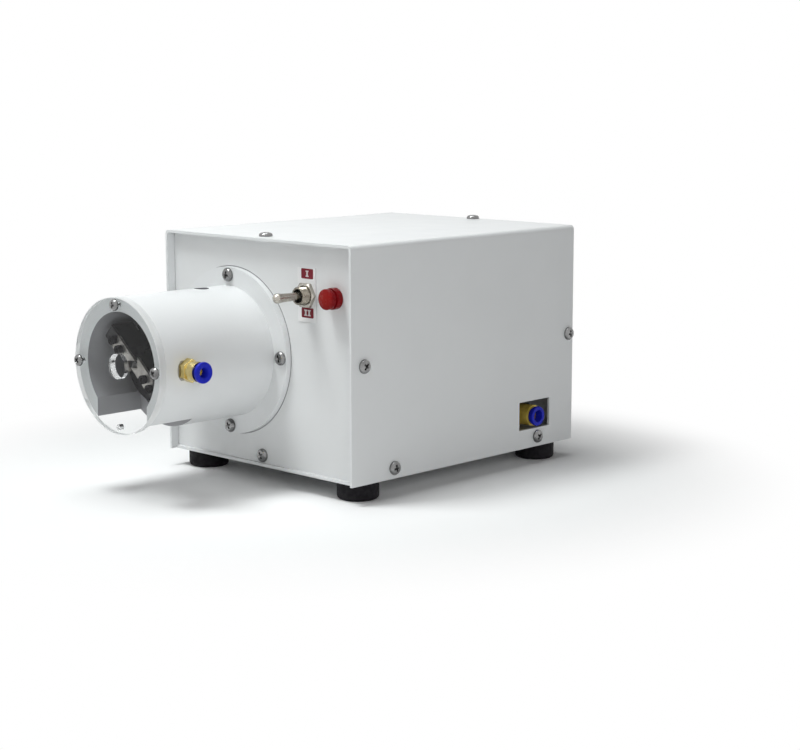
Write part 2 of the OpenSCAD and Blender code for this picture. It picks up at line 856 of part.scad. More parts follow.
module lamp_body() {
    color(black_plastic)
    facing(lamp_x, panel_y + skin_t, switch_z) {
        cylinder(d = lamp_stem_d, h = skin_t);
        translate([0, 0, -lamp_body_l]) cylinder(d = lamp_body_d, h = lamp_body_l);
    }
}

module lamp_lens() {
    cap_l = lamp_out - lamp_flange_t - lamp_waist_t;
    dome_r = (lamp_d * lamp_d / 4 + lamp_dome * lamp_dome) / (2 * lamp_dome);
    color([0.8, 0.05, 0.05])
    facing(lamp_x, panel_y, switch_z) {
        cylinder(d = lamp_d + 2 * lamp_flange_rim, h = lamp_flange_t);
        cylinder(d = lamp_d - 2 * lamp_waist_cut, h = lamp_out - lamp_dome);
        translate([0, 0, lamp_flange_t + lamp_waist_t]) {
            cylinder(d = lamp_d, h = cap_l - lamp_dome);
            intersection() {
                translate([0, 0, cap_l - dome_r]) sphere(r = dome_r);
                cylinder(d = lamp_d, h = cap_l);
            }
        }
    }
}

module spindle() {
    color(steel)
    difference() {
        union() {
            on_spindle(-flange_gap) cylinder(d = rotor_d, h = spindle_flange_t);
            on_spindle(front_bearing_depth) cylinder(d = shoulder_d, h = front_bearing_depth + flange_gap + hair);
            on_spindle(spindle_end) cylinder(d = spindle_d, h = spindle_end + flange_gap + hair);
        }
        on_spindle(spindle_end + over)
            cylinder(d = push_d + 2 * run_gap, h = spindle_end + flange_gap + spindle_flange_t + 2 * over);
        at_rotor_screws() translate([0, 0, -spindle_flange_t - over])
            cylinder(d = rotor_shank_d + 2 * screw_gap, h = spindle_flange_t + 2 * over);
    }
}

// Pulley with a land, two rims and a hub on both sides that spaces the two bearings
module spindle_pulley() {
    hub_l = block_depth - plate_t;
    color(black_steel)
    difference() {
        union() {
            on_spindle(block_depth) cylinder(r = hub_r, h = hub_l);
            on_spindle(pulley_depth + pulley_w) land_and_rims(pulley_r);
        }
        on_spindle(block_depth + over) cylinder(d = spindle_d + 2 * hair, h = hub_l + 2 * over);
    }
}

// Land and rims of a pulley, from its rear face forward
module land_and_rims(land_r) {
    cylinder(r = land_r, h = pulley_w);
    for (z = [0, pulley_w - rim_t]) {
        translate([0, 0, z]) cylinder(r = land_r + rim_h, h = rim_t);
    }
}

module bearing_ring(outer_d, inner_d) {
    for (depth = [plate_t, block_depth + bearing_w]) {
        on_spindle(depth) tube(outer_d, inner_d, bearing_w);
    }
}

module bearing_inner_rings() {
    color(steel)
    bearing_ring(inner_ring_d, spindle_d + 2 * hair);
}

module bearing_outer_rings() {
    color(steel)
    bearing_ring(bearing_d - 2 * hair, inner_ring_d + 2 * clear_gap);
}

module spindle_nut() {
    color(black_steel)
    difference() {
        on_spindle(nut_depth + nut_l) cylinder(d = nut_d, h = nut_l);
        on_spindle(nut_depth + nut_l + over) cylinder(d = spindle_d + 2 * hair, h = nut_l + 2 * over);
        for (turn = [0, 90]) {
            on_spindle(nut_depth + nut_l) rotate(turn) translate([-nut_d, -nut_slot / 2, -over])
                cube([2 * nut_d, nut_slot, nut_slot + over]);
        }
    }
}

// Copies at the places of the rotor's screws, local floor on the spindle's flange
module at_rotor_screws() {
    for (turn = rotor_screw_turns) {
        on_spindle(-flange_gap - spindle_flange_t) rotate(arm_angle + turn)
            translate([rotor_screw_r, 0, 0]) children();
    }
}

module bearing_block() {
    color(aluminium)
    difference() {
        translate([spindle_x - block_half, panel_y + block_depth, floor_z])
            cube([2 * block_half, block_t, cylinder_z + cylinder_side / 2 - floor_z]);
        on_spindle(block_depth + bearing_w) cylinder(d = bearing_d, h = bearing_w + over);
        on_spindle(block_depth + block_t + over)
            cylinder(d = nut_d + 2 * shoulder_gap, h = block_t + 2 * over);
        facing(spindle_x, panel_y + block_depth + block_t + over, cylinder_z)
            cylinder(d = rod_d + 2 * run_gap, h = block_t + 2 * over);
        at_guide(block_depth + block_t + over) cylinder(d = guide_d + 2 * hair, h = block_t + 2 * over);
        stand_holes();
    }
}

// On the guide pin's axis, at a depth behind the front plate's front face
module at_guide(depth) {
    facing(spindle_x + guide_side, panel_y + depth, cylinder_z - guide_drop) children();
}

// Tapped holes for the stand screws, above the base plate
module stand_holes() {
    for (place = stand_screws_at) {
        translate([place.x, place.y, floor_z - over])
            cylinder(d = stand_shank_d + 2 * screw_gap, h = stand_bite + 2 * over);
    }
}

module stand_screws() {
    color(black_steel)
    for (place = stand_screws_at) {
        translate([place.x, place.y, base_z + stand_head_h]) rotate([180, 0, 0])
            socket_screw(stand_head_d, stand_head_h, stand_shank_d, base_t - stand_head_h + stand_bite);
    }
}

module rotor() {
    color(black_steel)
    difference() {
        on_spindle(-flange_gap - spindle_flange_t) cylinder(d = rotor_d, h = rotor_l);
        on_spindle(-flange_gap - spindle_flange_t + over) cylinder(d = rotor_bore, h = rotor_l + 2 * over);
        facing(spindle_x, pivot_y + slot_end, spindle_z) rotate(arm_angle)
            translate([-rotor_d, -arm_slot_w / 2, 0]) cube([2 * rotor_d, arm_slot_w, rotor_l]);
        at_pivots() cylinder(d = pin_d + 2 * hair, h = rotor_d, center = true);
        facing(spindle_x, pivot_y + ring_u, spindle_z) difference() {
            cylinder(d = rotor_d + over, h = ring_groove_w, center = true);
            cylinder(r = ring_seat_r, h = 2 * ring_groove_w, center = true);
        }
        at_rotor_screws() {
            translate([0, 0, -over]) cylinder(d = rotor_shank_d + 2 * screw_gap, h = rotor_l + over);
            translate([0, 0, rotor_l - rotor_head_h]) cylinder(d = rotor_head_d + 2 * clear_gap, h = rotor_l);
        }
    }
}

module rotor_screws() {
    color(steel)
    at_rotor_screws() translate([0, 0, rotor_l - rotor_head_h])
        socket_screw(rotor_head_d, rotor_head_h, rotor_shank_d, rotor_l - rotor_head_h + spindle_flange_t - over);
}

// On the two pivot axes, local z along the pin
module at_pivots() {
    for (side = [-1, 1]) {
        facing(spindle_x, pivot_y, spindle_z) rotate(arm_angle) translate([side * pivot_r, 0, 0])
            rotate([90, 0, 0]) children();
    }
}

module pivot_pins() {
    pin_l = 2 * sqrt(rotor_d * rotor_d / 4 - (pivot_r + pin_d / 2) * (pivot_r + pin_d / 2));
    color(steel)
    at_pivots() cylinder(d = pin_d, h = pin_l, center = true);
}

module return_ring() {
    color(black_plastic)
    facing(spindle_x, pivot_y + ring_u, spindle_z) rotate_extrude()
        translate([ring_r, 0]) circle(r = ring_wire_r, $fn = 24);
}

// Straight bar between two points of a flat outline
module bar(from, to, half) {
    along = to - from;
    translate(from) rotate(atan2(along.y, along.x)) translate([0, -half]) square([norm(along), 2 * half]);
}

// Side outline of a blade arm: forward distance from the pivot, then distance from the spindle's axis
module arm_outline(seat) {
    difference() {
        union() {
            translate([0, pivot_r]) circle(r = boss_r);
            bar([0, pivot_r], [-tail_l, nose_v], nose_r);
            translate([-tail_l, nose_v]) circle(r = nose_r);
            translate([-ring_u - nub_w / 2, nose_v]) square([nub_w, nub_r - nose_v]);
            bar([0, pivot_r], [head_back + over, pivot_r], boss_r - over);
            translate([head_back, head_low_r]) square([seat - head_back, head_high_r - head_low_r]);
        }
        translate([0, pivot_r]) circle(d = pin_d + 2 * run_gap);
    }
}

module blade_arm(seat, turn) {
    color(steel)
    difference() {
        facing(spindle_x, pivot_y, spindle_z) rotate(turn) rotate([0, -90, -90])
            linear_extrude(arm_w, center = true) arm_outline(seat);
        at_blade_screws(seat, turn) translate([0, 0, -blade_t - blade_shank_l - over])
            cylinder(d = blade_shank_d + 2 * screw_gap, h = blade_shank_l + over + hair);
    }
}

// Flat blade with a V notch at its inner end
module blade(seat, turn) {
    tip_r = mouth_r - arm_w / 2;
    color(nickel)
    difference() {
        facing(spindle_x, pivot_y - seat, spindle_z) rotate(turn) linear_extrude(blade_t) polygon([
            [head_high_r - over, -arm_w / 2],
            [head_high_r - over, arm_w / 2],
            [tip_r, arm_w / 2],
            [mouth_r, 0],
            [tip_r, -arm_w / 2]
        ]);
        at_blade_screws(seat, turn) translate([0, 0, -blade_t - over])
            cylinder(d = blade_shank_d + 2 * screw_gap, h = blade_t + 2 * over);
    }
}

// Copies at the places of a blade's screws, local floor on the blade
module at_blade_screws(seat, turn) {
    for (r = blade_screw_r) {
        facing(spindle_x, pivot_y - seat - blade_t, spindle_z) rotate(turn) translate([r, 0, 0]) children();
    }
}

module blade_screws(seat, turn) {
    color(black_steel)
    at_blade_screws(seat, turn)
        socket_screw(blade_head_d, blade_head_h, blade_shank_d, blade_t + blade_shank_l);
}

module blade_arm_a() {
    blade_arm(seat_a, arm_angle + 180);
}

module blade_a() {
    blade(seat_a, arm_angle + 180);
}

module blade_screws_a() {
    blade_screws(seat_a, arm_angle + 180);
}

module blade_arm_b() {
    blade_arm(seat_b, arm_angle);
}

module blade_b() {
    blade(seat_b, arm_angle);
}

module blade_screws_b() {
    blade_screws(seat_b, arm_angle);
}

// Tube with a cone at its front that spreads the tails of the blade arms
module push_tube() {
    nose_y = pivot_y + tail_l;
    rear_l = panel_y + collar_depth + collar_l - nose_y;
    color(steel)
    facing(spindle_x, nose_y, spindle_z) rotate_extrude() polygon([
        [push_bore / 2, cone_front],
        [cone_mid_r - cone_front * cone_tan, cone_front],
        [cone_mid_r + cone_rear * cone_tan, -cone_rear],
        [push_d / 2, -cone_rear],
        [push_d / 2, -rear_l],
        [push_bore / 2, -rear_l]
    ]);
}

module shift_collar() {
    color(steel)
    on_spindle(collar_depth + collar_l) difference() {
        union() {
            cylinder(r = collar_core_r, h = collar_l);
            for (z = [0, collar_l - collar_rim_t]) {
                translate([0, 0, z]) cylinder(r = collar_r, h = collar_rim_t);
            }
        }
        translate([0, 0, -over]) cylinder(d = push_d + 2 * hair, h = collar_l + 2 * over);
    }
}

module shift_fork() {
    ear = guide_d;
    core = collar_core_r + clear_gap;
    color(aluminium)
    on_spindle(fork_depth + fork_t) linear_extrude(fork_t) difference() {
        union() {
            translate([-fork_half, -fork_leg]) square([2 * fork_half, cylinder_rise + fork_head + fork_leg]);
            translate([0, cylinder_rise - guide_drop - ear]) square([guide_side + ear, 2 * ear]);
        }
        circle(r = core);
        translate([-core, -fork_leg - over]) square([2 * core, fork_leg + over]);
        translate([0, cylinder_rise]) circle(d = stud_d + 2 * hair);
        translate([guide_side, cylinder_rise - guide_drop]) circle(d = guide_d + 2 * run_gap);
    }
}

// On the air cylinder's axis, at a depth behind the front plate's front face
module on_cylinder(depth) {
    facing(spindle_x, panel_y + depth, cylinder_z) children();
}

module piston_rod() {
    piston_rear = block_depth - piston_back;
    color(steel) {
        on_cylinder(piston_rear) cylinder(d = cylinder_bore - 2 * run_gap, h = piston_t);
        on_cylinder(fork_depth) cylinder(d = rod_d, h = fork_depth - piston_rear + hair);
        on_cylinder(fork_depth + fork_t + rod_nut_t) cylinder(d = stud_d, h = fork_t + rod_nut_t + hair);
    }
}

module rod_nut() {
    color(nickel)
    on_cylinder(fork_depth + fork_t + rod_nut_t) difference() {
        hexagon(rod_nut_af, rod_nut_t);
        translate([0, 0, -over]) cylinder(d = stud_d + 2 * hair, h = rod_nut_t + 2 * over);
    }
}

module air_cylinder() {
    color(aluminium)
    difference() {
        translate([spindle_x - cylinder_side / 2, panel_y + cylinder_depth, cylinder_z - cylinder_side / 2])
            cube([cylinder_side, cylinder_l, cylinder_side]);
        on_cylinder(block_depth + over) cylinder(d = cylinder_bore, h = cylinder_l - cylinder_end_t + over);
        sideways(cyl_side_x - cyl_thread_l - over, cyl_port_y, cylinder_z)
            cylinder(d = thread_d(tube_d) + 2 * screw_gap, h = cylinder_side);
        sideways(spindle_x, cyl_port_y, cylinder_z) cylinder(d = air_way_d, h = cylinder_side);
    }
}

// Points of one ring of the spring's wire, at a share of its length
function coil_ring(share, length, sides) = [
    for (side = [0 : sides - 1])
        let (turn = share * spring_turns * 360, round = side * 360 / sides)
        [
            (spring_r + spring_wire_r * cos(round)) * cos(turn),
            (spring_r + spring_wire_r * cos(round)) * sin(turn),
            share * length + spring_wire_r * sin(round)
        ]
];

// Coil between the cylinder's end and the piston, which draws out the arms when the air is let off
module cylinder_spring() {
    sides = 6;
    steps = spring_turns * 16;
    room = cylinder_l - cylinder_end_t - piston_t - piston_back;
    length = room - 2 * spring_wire_r - 2 * hair;
    rings = [for (step = [0 : steps]) each coil_ring(step / steps, length, sides)];
    walls = [
        for (step = [0 : steps - 1], side = [0 : sides - 1])
            let (next = (side + 1) % sides, low = step * sides, high = low + sides)
            each [[low + side, high + side, high + next], [low + side, high + next, low + next]]
    ];
    first_end = [for (side = [1 : sides - 2]) [0, side, side + 1]];
    last = steps * sides;
    last_end = [for (side = [1 : sides - 2]) [last, last + side + 1, last + side]];
    color(steel)
    on_cylinder(block_depth - piston_back - piston_t) translate([0, 0, spring_wire_r + hair])
        polyhedron(points = rings, faces = concat(walls, first_end, last_end));
}

module guide_pin() {
    color(steel)
    at_guide(guide_end) cylinder(d = guide_d, h = guide_end - block_depth);
}

// Copies at the places of the motor's screws, local floor on the bracket's front face
module at_motor_screws() {
    for (turn = [45 : 90 : 315]) {
        on_motor(bracket_depth) rotate(turn) translate([motor_screw_r, 0, 0]) children();
    }
}

module motor_bracket() {
    color(aluminium)
    difference() {
        translate([motor_x - bracket_half, panel_y + bracket_depth, floor_z])
            cube([2 * bracket_half, bracket_t, motor_rise + bracket_half]);
        on_motor(motor_depth + over) cylinder(d = shaft_d + 2 * run_gap, h = bracket_t + 2 * over);
        at_motor_screws() translate([0, 0, -bracket_t - over])
            cylinder(d = motor_screw_d + 2 * screw_gap, h = bracket_t + 2 * over);
        stand_holes();
    }
}

module motor_housing() {
    color(black_steel)
    on_motor(motor_depth + motor_l) difference() {
        cylinder(d = motor_d, h = motor_l);
        translate([0, 0, motor_wall]) cylinder(d = motor_d - 2 * motor_wall, h = motor_l);
        translate([0, 0, -over]) cylinder(d = shaft_d + 2 * run_gap, h = motor_wall + 2 * over);
        for (turn = [45 : 90 : 315]) {
            rotate(turn) translate([motor_screw_r, 0, motor_l - motor_screw_bite - over])
                cylinder(d = motor_screw_d + 2 * screw_gap, h = motor_screw_bite + 2 * over);
        }
    }
}

module motor_stator() {
    color(steel)
    on_motor(motor_depth + (motor_l + stator_l) / 2)
        tube(motor_d - 2 * motor_wall - 2 * hair, stator_bore, stator_l);
}

module motor_shaft() {
    color(steel) {
        on_motor(motor_depth + motor_l) cylinder(d = shaft_d, h = motor_depth + motor_l - pulley_depth);
        on_motor(motor_depth + (motor_l + core_l) / 2) cylinder(d = stator_bore - 2 * clear_gap, h = core_l);
    }
}

module motor_pulley() {
    color(black_steel)
    on_motor(pulley_depth + pulley_w) difference() {
        land_and_rims(motor_pulley_r);
        translate([0, 0, -over]) cylinder(d = shaft_d + 2 * hair, h = pulley_w + 2 * over);
    }
}

module motor_screws() {
    color(nickel)
    at_motor_screws()
        socket_screw(blade_head_d, blade_head_h, motor_screw_d, bracket_t + motor_screw_bite - over);
}

// Outline around both pulleys at a distance from their lands, seen from the front
module belt_outline(away) {
    hull() {
        circle(r = pulley_r + away);
        translate([motor_x - spindle_x, motor_z - spindle_z]) circle(r = motor_pulley_r + away);
    }
}

module drive_belt() {
    color(black_plastic)
    on_spindle(belt_depth + belt_w) linear_extrude(belt_w) difference() {
        belt_outline(clear_gap + belt_t);
        belt_outline(clear_gap);
    }
}

module air_manifold() {
    color(aluminium)
    difference() {
        translate([manifold_x - manifold_w, inlet_y - manifold_l / 2, floor_z])
            cube([manifold_w, manifold_l, manifold_h]);
        sideways(manifold_x - inlet_thread_l - over, inlet_y, inlet_z)
            cylinder(d = thread_d(supply_d) + 2 * screw_gap, h = manifold_w);
        translate([outlet_x, inlet_y, floor_z + manifold_h - cyl_thread_l - over])
            cylinder(d = thread_d(tube_d) + 2 * screw_gap, h = manifold_h);
        translate([outlet_x, inlet_y, inlet_z]) cylinder(d = air_way_d, h = manifold_h);
        stand_holes();
    }
}

module inlet_fitting() {
    color(brass)
    sideways(manifold_x, inlet_y, inlet_z) push_in_body(supply_d, inlet_thread_l, inlet_neck);
}

module inlet_collar() {
    color(blue_plastic)
    sideways(manifold_x, inlet_y, inlet_z) push_in_collar(supply_d, collar_wall, inlet_neck);
}

// The two fittings of the inner air tube, on the manifold and on the air cylinder
module tube_fittings() {
    color(brass) {
        translate([outlet_x, inlet_y, floor_z + manifold_h]) push_in_body(tube_d, cyl_thread_l, 0);
        sideways(cyl_side_x, cyl_port_y, cylinder_z) push_in_body(tube_d, cyl_thread_l, 0);
    }
}

// Inner air tube: up from the manifold, forward under the cover's top, then left to the air cylinder
module air_tube() {
    low_z = floor_z + manifold_h + tube_seat;
    end_x = cyl_side_x + tube_seat;
    wall_d = tube_d - 2 * tube_wall;
    color([0.2, 0.3, 0.75]) {
        translate([outlet_x, inlet_y, low_z]) tube(tube_d, wall_d, cylinder_z - bend_of_tube - low_z);
        translate([outlet_x, inlet_y - bend_of_tube, cylinder_z - bend_of_tube]) rotate([90, 0, 90])
            tube_bend(wall_d);
        facing(outlet_x, inlet_y - bend_of_tube, cylinder_z)
            tube(tube_d, wall_d, inlet_y - cyl_port_y - 2 * bend_of_tube);
        translate([outlet_x - bend_of_tube, cyl_port_y + bend_of_tube, cylinder_z]) rotate(-90)
            tube_bend(wall_d);
        sideways(end_x, cyl_port_y, cylinder_z) tube(tube_d, wall_d, outlet_x - bend_of_tube - end_x);
    }
}

// Quarter bend of the air tube around the local z axis
module tube_bend(bore_d) {
    rotate_extrude(angle = 90) translate([bend_of_tube, 0]) difference() {
        circle(d = tube_d);
        circle(d = bore_d);
    }
}

// Local z runs to the rear
module rearward(x, y, z) {
    translate([x, y, z]) rotate([-90, 0, 0]) children();
}

module cable_gland() {
    inner_l = plate_t + gland_nut_t + gland_spare;
    color(black_plastic)
    rearward(gland_x, rear_back_y, gland_z) difference() {
        union() {
            translate([0, 0, -inner_l]) cylinder(d = gland_d, h = inner_l + hair);
            hexagon(gland_af, gland_hex_t);
            cylinder(d = gland_cap_d, h = gland_out - gland_dome);
            translate([0, 0, gland_out - gland_dome])
                cylinder(d1 = gland_cap_d, d2 = gland_bore + 2 * gland_lip, h = gland_dome);
        }
        translate([0, 0, -inner_l - over]) cylinder(d = gland_bore, h = inner_l + gland_out + 2 * over);
    }
}

module gland_nut() {
    color(black_plastic)
    facing(gland_x, rear_y, gland_z) difference() {
        hexagon(gland_af, gland_nut_t);
        translate([0, 0, -over]) cylinder(d = gland_d + 2 * screw_gap, h = gland_nut_t + 2 * over);
    }
}

cover();
cover_screws();
bottom_pan();
base_plate();
front_plate();
rear_plate();
panel_screws();
rubber_feet();
foot_screws();
head_housing();
guard_disc();
guard_screws();
blow_fitting();
blow_collar();
legend_plate();
switch_case();
switch_bushing();
switch_nut();
toggle_lever();
lamp_body();
lamp_lens();
spindle();
spindle_pulley();
bearing_inner_rings();
bearing_outer_rings();
spindle_nut();
bearing_block();
rotor();
rotor_screws();
pivot_pins();
return_ring();
blade_arm_a();
blade_a();
blade_screws_a();
blade_arm_b();
blade_b();
blade_screws_b();
push_tube();
shift_collar();
shift_fork();
piston_rod();
rod_nut();
air_cylinder();
cylinder_spring();
guide_pin();
motor_bracket();
motor_housing();
motor_stator();
motor_shaft();
motor_pulley();
motor_screws();
drive_belt();
stand_screws();
air_manifold();
inlet_fitting();
inlet_collar();
tube_fittings();
air_tube();
cable_gland();
gland_nut();
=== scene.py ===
import json
import math

import bmesh
import bpy
from mathutils import Matrix, Vector

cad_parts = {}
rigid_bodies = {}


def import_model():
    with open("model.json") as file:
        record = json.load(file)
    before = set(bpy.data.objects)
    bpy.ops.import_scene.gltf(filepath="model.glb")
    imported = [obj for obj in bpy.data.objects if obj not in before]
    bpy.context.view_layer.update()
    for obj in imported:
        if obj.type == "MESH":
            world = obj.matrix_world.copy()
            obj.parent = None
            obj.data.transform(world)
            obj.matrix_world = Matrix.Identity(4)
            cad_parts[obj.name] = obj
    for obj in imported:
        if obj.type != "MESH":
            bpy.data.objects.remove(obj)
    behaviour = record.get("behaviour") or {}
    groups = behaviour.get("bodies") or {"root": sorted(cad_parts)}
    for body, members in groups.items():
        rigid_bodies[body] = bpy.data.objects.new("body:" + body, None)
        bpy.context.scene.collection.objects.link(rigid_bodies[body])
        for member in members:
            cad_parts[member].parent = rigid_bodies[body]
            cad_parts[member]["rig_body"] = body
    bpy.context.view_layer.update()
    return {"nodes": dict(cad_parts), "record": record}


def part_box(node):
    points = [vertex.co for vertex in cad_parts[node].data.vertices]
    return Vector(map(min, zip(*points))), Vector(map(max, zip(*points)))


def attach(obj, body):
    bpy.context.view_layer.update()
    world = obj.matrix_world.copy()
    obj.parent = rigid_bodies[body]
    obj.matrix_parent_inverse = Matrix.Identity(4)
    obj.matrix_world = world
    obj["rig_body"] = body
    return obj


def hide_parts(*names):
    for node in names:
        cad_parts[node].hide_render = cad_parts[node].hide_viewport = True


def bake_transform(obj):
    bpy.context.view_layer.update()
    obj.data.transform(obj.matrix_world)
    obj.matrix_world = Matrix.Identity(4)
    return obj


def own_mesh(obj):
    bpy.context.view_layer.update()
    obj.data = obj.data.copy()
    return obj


MM = 0.001

# Start from an empty scene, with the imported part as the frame
for leftover in list(bpy.data.objects):
    bpy.data.objects.remove(leftover, do_unlink=True)
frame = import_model()
nodes = frame["nodes"]
slot_of_node = {s["node"]: s["material_slot"] for s in frame["record"]["subparts"]}

# Places that several pieces share, in millimetres, read from the nodes' boxes
X, Y, Z = 0, 1, 2
LOW, HIGH = 0, 1


def edge(node, axis, side):
    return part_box(node)[side][axis] / MM


def middle(node, axis):
    return (edge(node, axis, LOW) + edge(node, axis, HIGH)) / 2


def length(node, axis):
    return edge(node, axis, HIGH) - edge(node, axis, LOW)


panel_y = edge("front_plate", Y, LOW)
rear_back_y = edge("rear_plate", Y, HIGH)
front_y = edge("cover", Y, LOW)
side_x = edge("cover", X, HIGH)
cover_z = edge("cover", Z, LOW)
top_z = edge("cover", Z, HIGH)
guard_y = edge("guard_disc", Y, LOW)
head_y = edge("guard_disc", Y, HIGH)
head_r = length("guard_disc", X) / 2
spindle_x = middle("guard_disc", X)
spindle_z = middle("guard_disc", Z)
switch_x = middle("switch_nut", X)
switch_z = middle("switch_nut", Z)
legend_y = edge("legend_plate", Y, LOW)
bushing_front_y = edge("switch_bushing", Y, LOW)
bushing_r = length("switch_bushing", X) / 2

# Sockets of the colour mixing node
MIX_FACTOR, MIX_A, MIX_B, MIX_COLOR = 0, 6, 7, 2


class Surface:
    """A material with one Principled shader, and helpers for the patterns that drive it."""

    def __init__(self, name, color, metallic=0.0, roughness=0.5, **sockets):
        self.material = bpy.data.materials.new(name)
        self.material.use_nodes = True
        self.tree = self.material.node_tree
        self.shader = self.tree.nodes["Principled BSDF"]
        self.shader.inputs["Base Color"].default_value = (*color, 1)
        self.shader.inputs["Metallic"].default_value = metallic
        self.shader.inputs["Roughness"].default_value = roughness
        for socket, value in sockets.items():
            self.shader.inputs[socket.replace("_", " ")].default_value = value
        self.position = self.add("ShaderNodeTexCoord").outputs["Object"]
        self.normal = None

    def add(self, kind, **settings):
        node = self.tree.nodes.new(kind)
        for key, value in settings.items():
            setattr(node, key, value)
        return node

    def join(self, output, target):
        self.tree.links.new(output, target)

    def feed(self, target, value):
        """Sets a socket to a number or vector, or links it to another node's output."""
        if isinstance(value, bpy.types.NodeSocket):
            self.join(value, target)
        else:
            target.default_value = value

    def math(self, operation, *values):
        node = self.add("ShaderNodeMath", operation=operation)
        for target, value in zip(node.inputs, values):
            self.feed(target, value)
        return node.outputs[0]

    def vector(self, operation, *values):
        node = self.add("ShaderNodeVectorMath", operation=operation)
        for target, value in zip(node.inputs, values):
            self.feed(target, value)
        return node.outputs["Value" if operation == "LENGTH" else "Vector"]

    def noise(self, size_mm, detail=2.0, stretch=(1, 1, 1)):
        """Noise with features of about that size; stretch makes them longer along an axis."""
        node = self.add("ShaderNodeTexNoise")
        node.inputs["Scale"].default_value = 1 / (size_mm * MM)
        node.inputs["Detail"].default_value = detail
        self.join(self.vector("DIVIDE", self.position, stretch), node.inputs["Vector"])
        return node.outputs[0]

    def spread(self, value, low, high, start=0.3, end=0.7):
        """The value's range from start to end, stretched from low to high."""
        node = self.add("ShaderNodeMapRange")
        for socket, number in (("From Min", start), ("From Max", end), ("To Min", low), ("To Max", high)):
            node.inputs[socket].default_value = number
        self.join(value, node.inputs["Value"])
        return node.outputs["Result"]

    def tint(self, value, other, start=0.3, end=0.7):
        """Base colour that goes to another colour where the value is high."""
        mix = self.add("ShaderNodeMix", data_type="RGBA")
        target = self.shader.inputs["Base Color"]
        if target.is_linked:
            self.join(target.links[0].from_socket, mix.inputs[MIX_A])
        else:
            mix.inputs[MIX_A].default_value = target.default_value
        mix.inputs[MIX_B].default_value = (*other, 1)
        self.join(self.spread(value, 0, 1, start, end), mix.inputs[MIX_FACTOR])
        self.join(mix.outputs[MIX_COLOR], target)

    def drive(self, socket, value):
        self.join(value, self.shader.inputs[socket])

    def bump(self, value, height_mm):
        node = self.add("ShaderNodeBump")
        node.inputs["Distance"].default_value = height_mm * MM
        self.join(value, node.inputs["Height"])
        if self.normal is not None:
            self.join(self.normal, node.inputs["Normal"])
        self.normal = node.outputs["Normal"]
        self.drive("Normal", self.normal)

    def coordinate(self, axis):
        """Position along an axis in millimetres."""
        split = self.add("ShaderNodeSeparateXYZ")
        self.join(self.vector("MULTIPLY", self.position, (1 / MM, 1 / MM, 1 / MM)), split.inputs[0])
        return split.outputs[axis]

    def from_axis(self, x_mm, z_mm):
        """Distance in millimetres from a line along Y."""
        flat = self.vector("MULTIPLY", self.position, (1 / MM, 0, 1 / MM))
        return self.vector("LENGTH", self.vector("SUBTRACT", flat, (x_mm, 0, z_mm)))


# Darker tone that paint and plastic drift to, as a share of their colour
PAINT_DRIFT, PLASTIC_DRIFT = 0.97, 0.8


def painted(name, color):
    """Satin paint with fine orange peel and a slow drift in tone."""
    paint = Surface(name, color, roughness=0.4, Coat_Weight=0.15, Coat_Roughness=0.25)
    paint.tint(paint.noise(size_mm=70, detail=3), tuple(c * PAINT_DRIFT for c in color))
    paint.drive("Roughness", paint.spread(paint.noise(size_mm=18, detail=4), low=0.33, high=0.47))
    paint.bump(paint.noise(size_mm=1.5, detail=1), height_mm=0.018)
    paint.bump(paint.noise(size_mm=40, detail=1), height_mm=0.1)
    return paint


def metal(name, color, roughness, scratch, dull, metallic=1.0, **sockets):
    """Metal with fine marks: scratch is the marks' stretch along the axes, dull a second tone."""
    face = Surface(name, color, metallic=metallic, roughness=roughness, **sockets)
    face.tint(face.noise(size_mm=6, detail=4), dull)
    marks = face.noise(size_mm=1.2, detail=3, stretch=scratch)
    face.drive("Roughness", face.spread(marks, low=roughness * 0.75, high=roughness * 1.35))
    face.bump(face.noise(size_mm=0.5, detail=2, stretch=scratch), height_mm=0.006)
    return face


def moulded(name, color, roughness, grain_mm, **sockets):
    """Plastic or rubber with a fine grain."""
    face = Surface(name, color, roughness=roughness, **sockets)
    face.tint(face.noise(size_mm=8, detail=2), tuple(c * PLASTIC_DRIFT for c in color))
    clouds = face.noise(size_mm=3, detail=3)
    face.drive("Roughness", face.spread(clouds, low=roughness * 0.8, high=roughness * 1.25))
    face.bump(face.noise(size_mm=0.6, detail=2), grain_mm)
    return face


# Stretch of marks that run no particular way
EVEN = (1, 1, 1)

white_paint = painted("white_paint", (0.80, 0.815, 0.82))
panel_paint = painted("panel_paint", (0.79, 0.803, 0.805))
legend_white = painted("legend_white", (0.86, 0.86, 0.865))
nickel = metal("nickel", (0.52, 0.49, 0.44), roughness=0.22, scratch=EVEN, dull=(0.36, 0.34, 0.3))
screw_zinc = metal(
    "screw_zinc", (0.31, 0.31, 0.31), roughness=0.17, scratch=EVEN, dull=(0.17, 0.17, 0.17)
)
steel = metal("steel", (0.3, 0.295, 0.29), roughness=0.42, scratch=(1, 8, 1), dull=(0.2, 0.2, 0.2))
aluminium = metal(
    "aluminium", (0.6, 0.61, 0.62), roughness=0.42, scratch=(12, 1, 1), dull=(0.5, 0.51, 0.52)
)
brass = metal(
    "brass", (0.8, 0.67, 0.32), roughness=0.22, scratch=(0.2, 3, 3), dull=(0.55, 0.43, 0.15)
)
# Inlet fitting's brass: a copy of the brass with painted light, yellower and mostly non-metallic, so that
# it looks lit inside its dark port
lit_port_brass = metal(
    "lit_port_brass", (0.9, 0.68, 0.14), roughness=0.4, scratch=(0.2, 3, 3), dull=(0.62, 0.44, 0.07),
    metallic=0.3,
)
black_oxide = metal(
    "black_oxide", (0.006, 0.005, 0.008), roughness=0.5, scratch=EVEN, dull=(0.01, 0.009, 0.012),
    metallic=0.2, Specular_IOR_Level=0.06,
)
arm_steel = metal(
    "arm_steel", (0.006, 0.005, 0.008), roughness=0.45, scratch=(1, 8, 1), dull=(0.01, 0.009, 0.012),
    metallic=0.3, Specular_IOR_Level=0.04,
)
black_enamel = painted("black_enamel", (0.03, 0.03, 0.033))
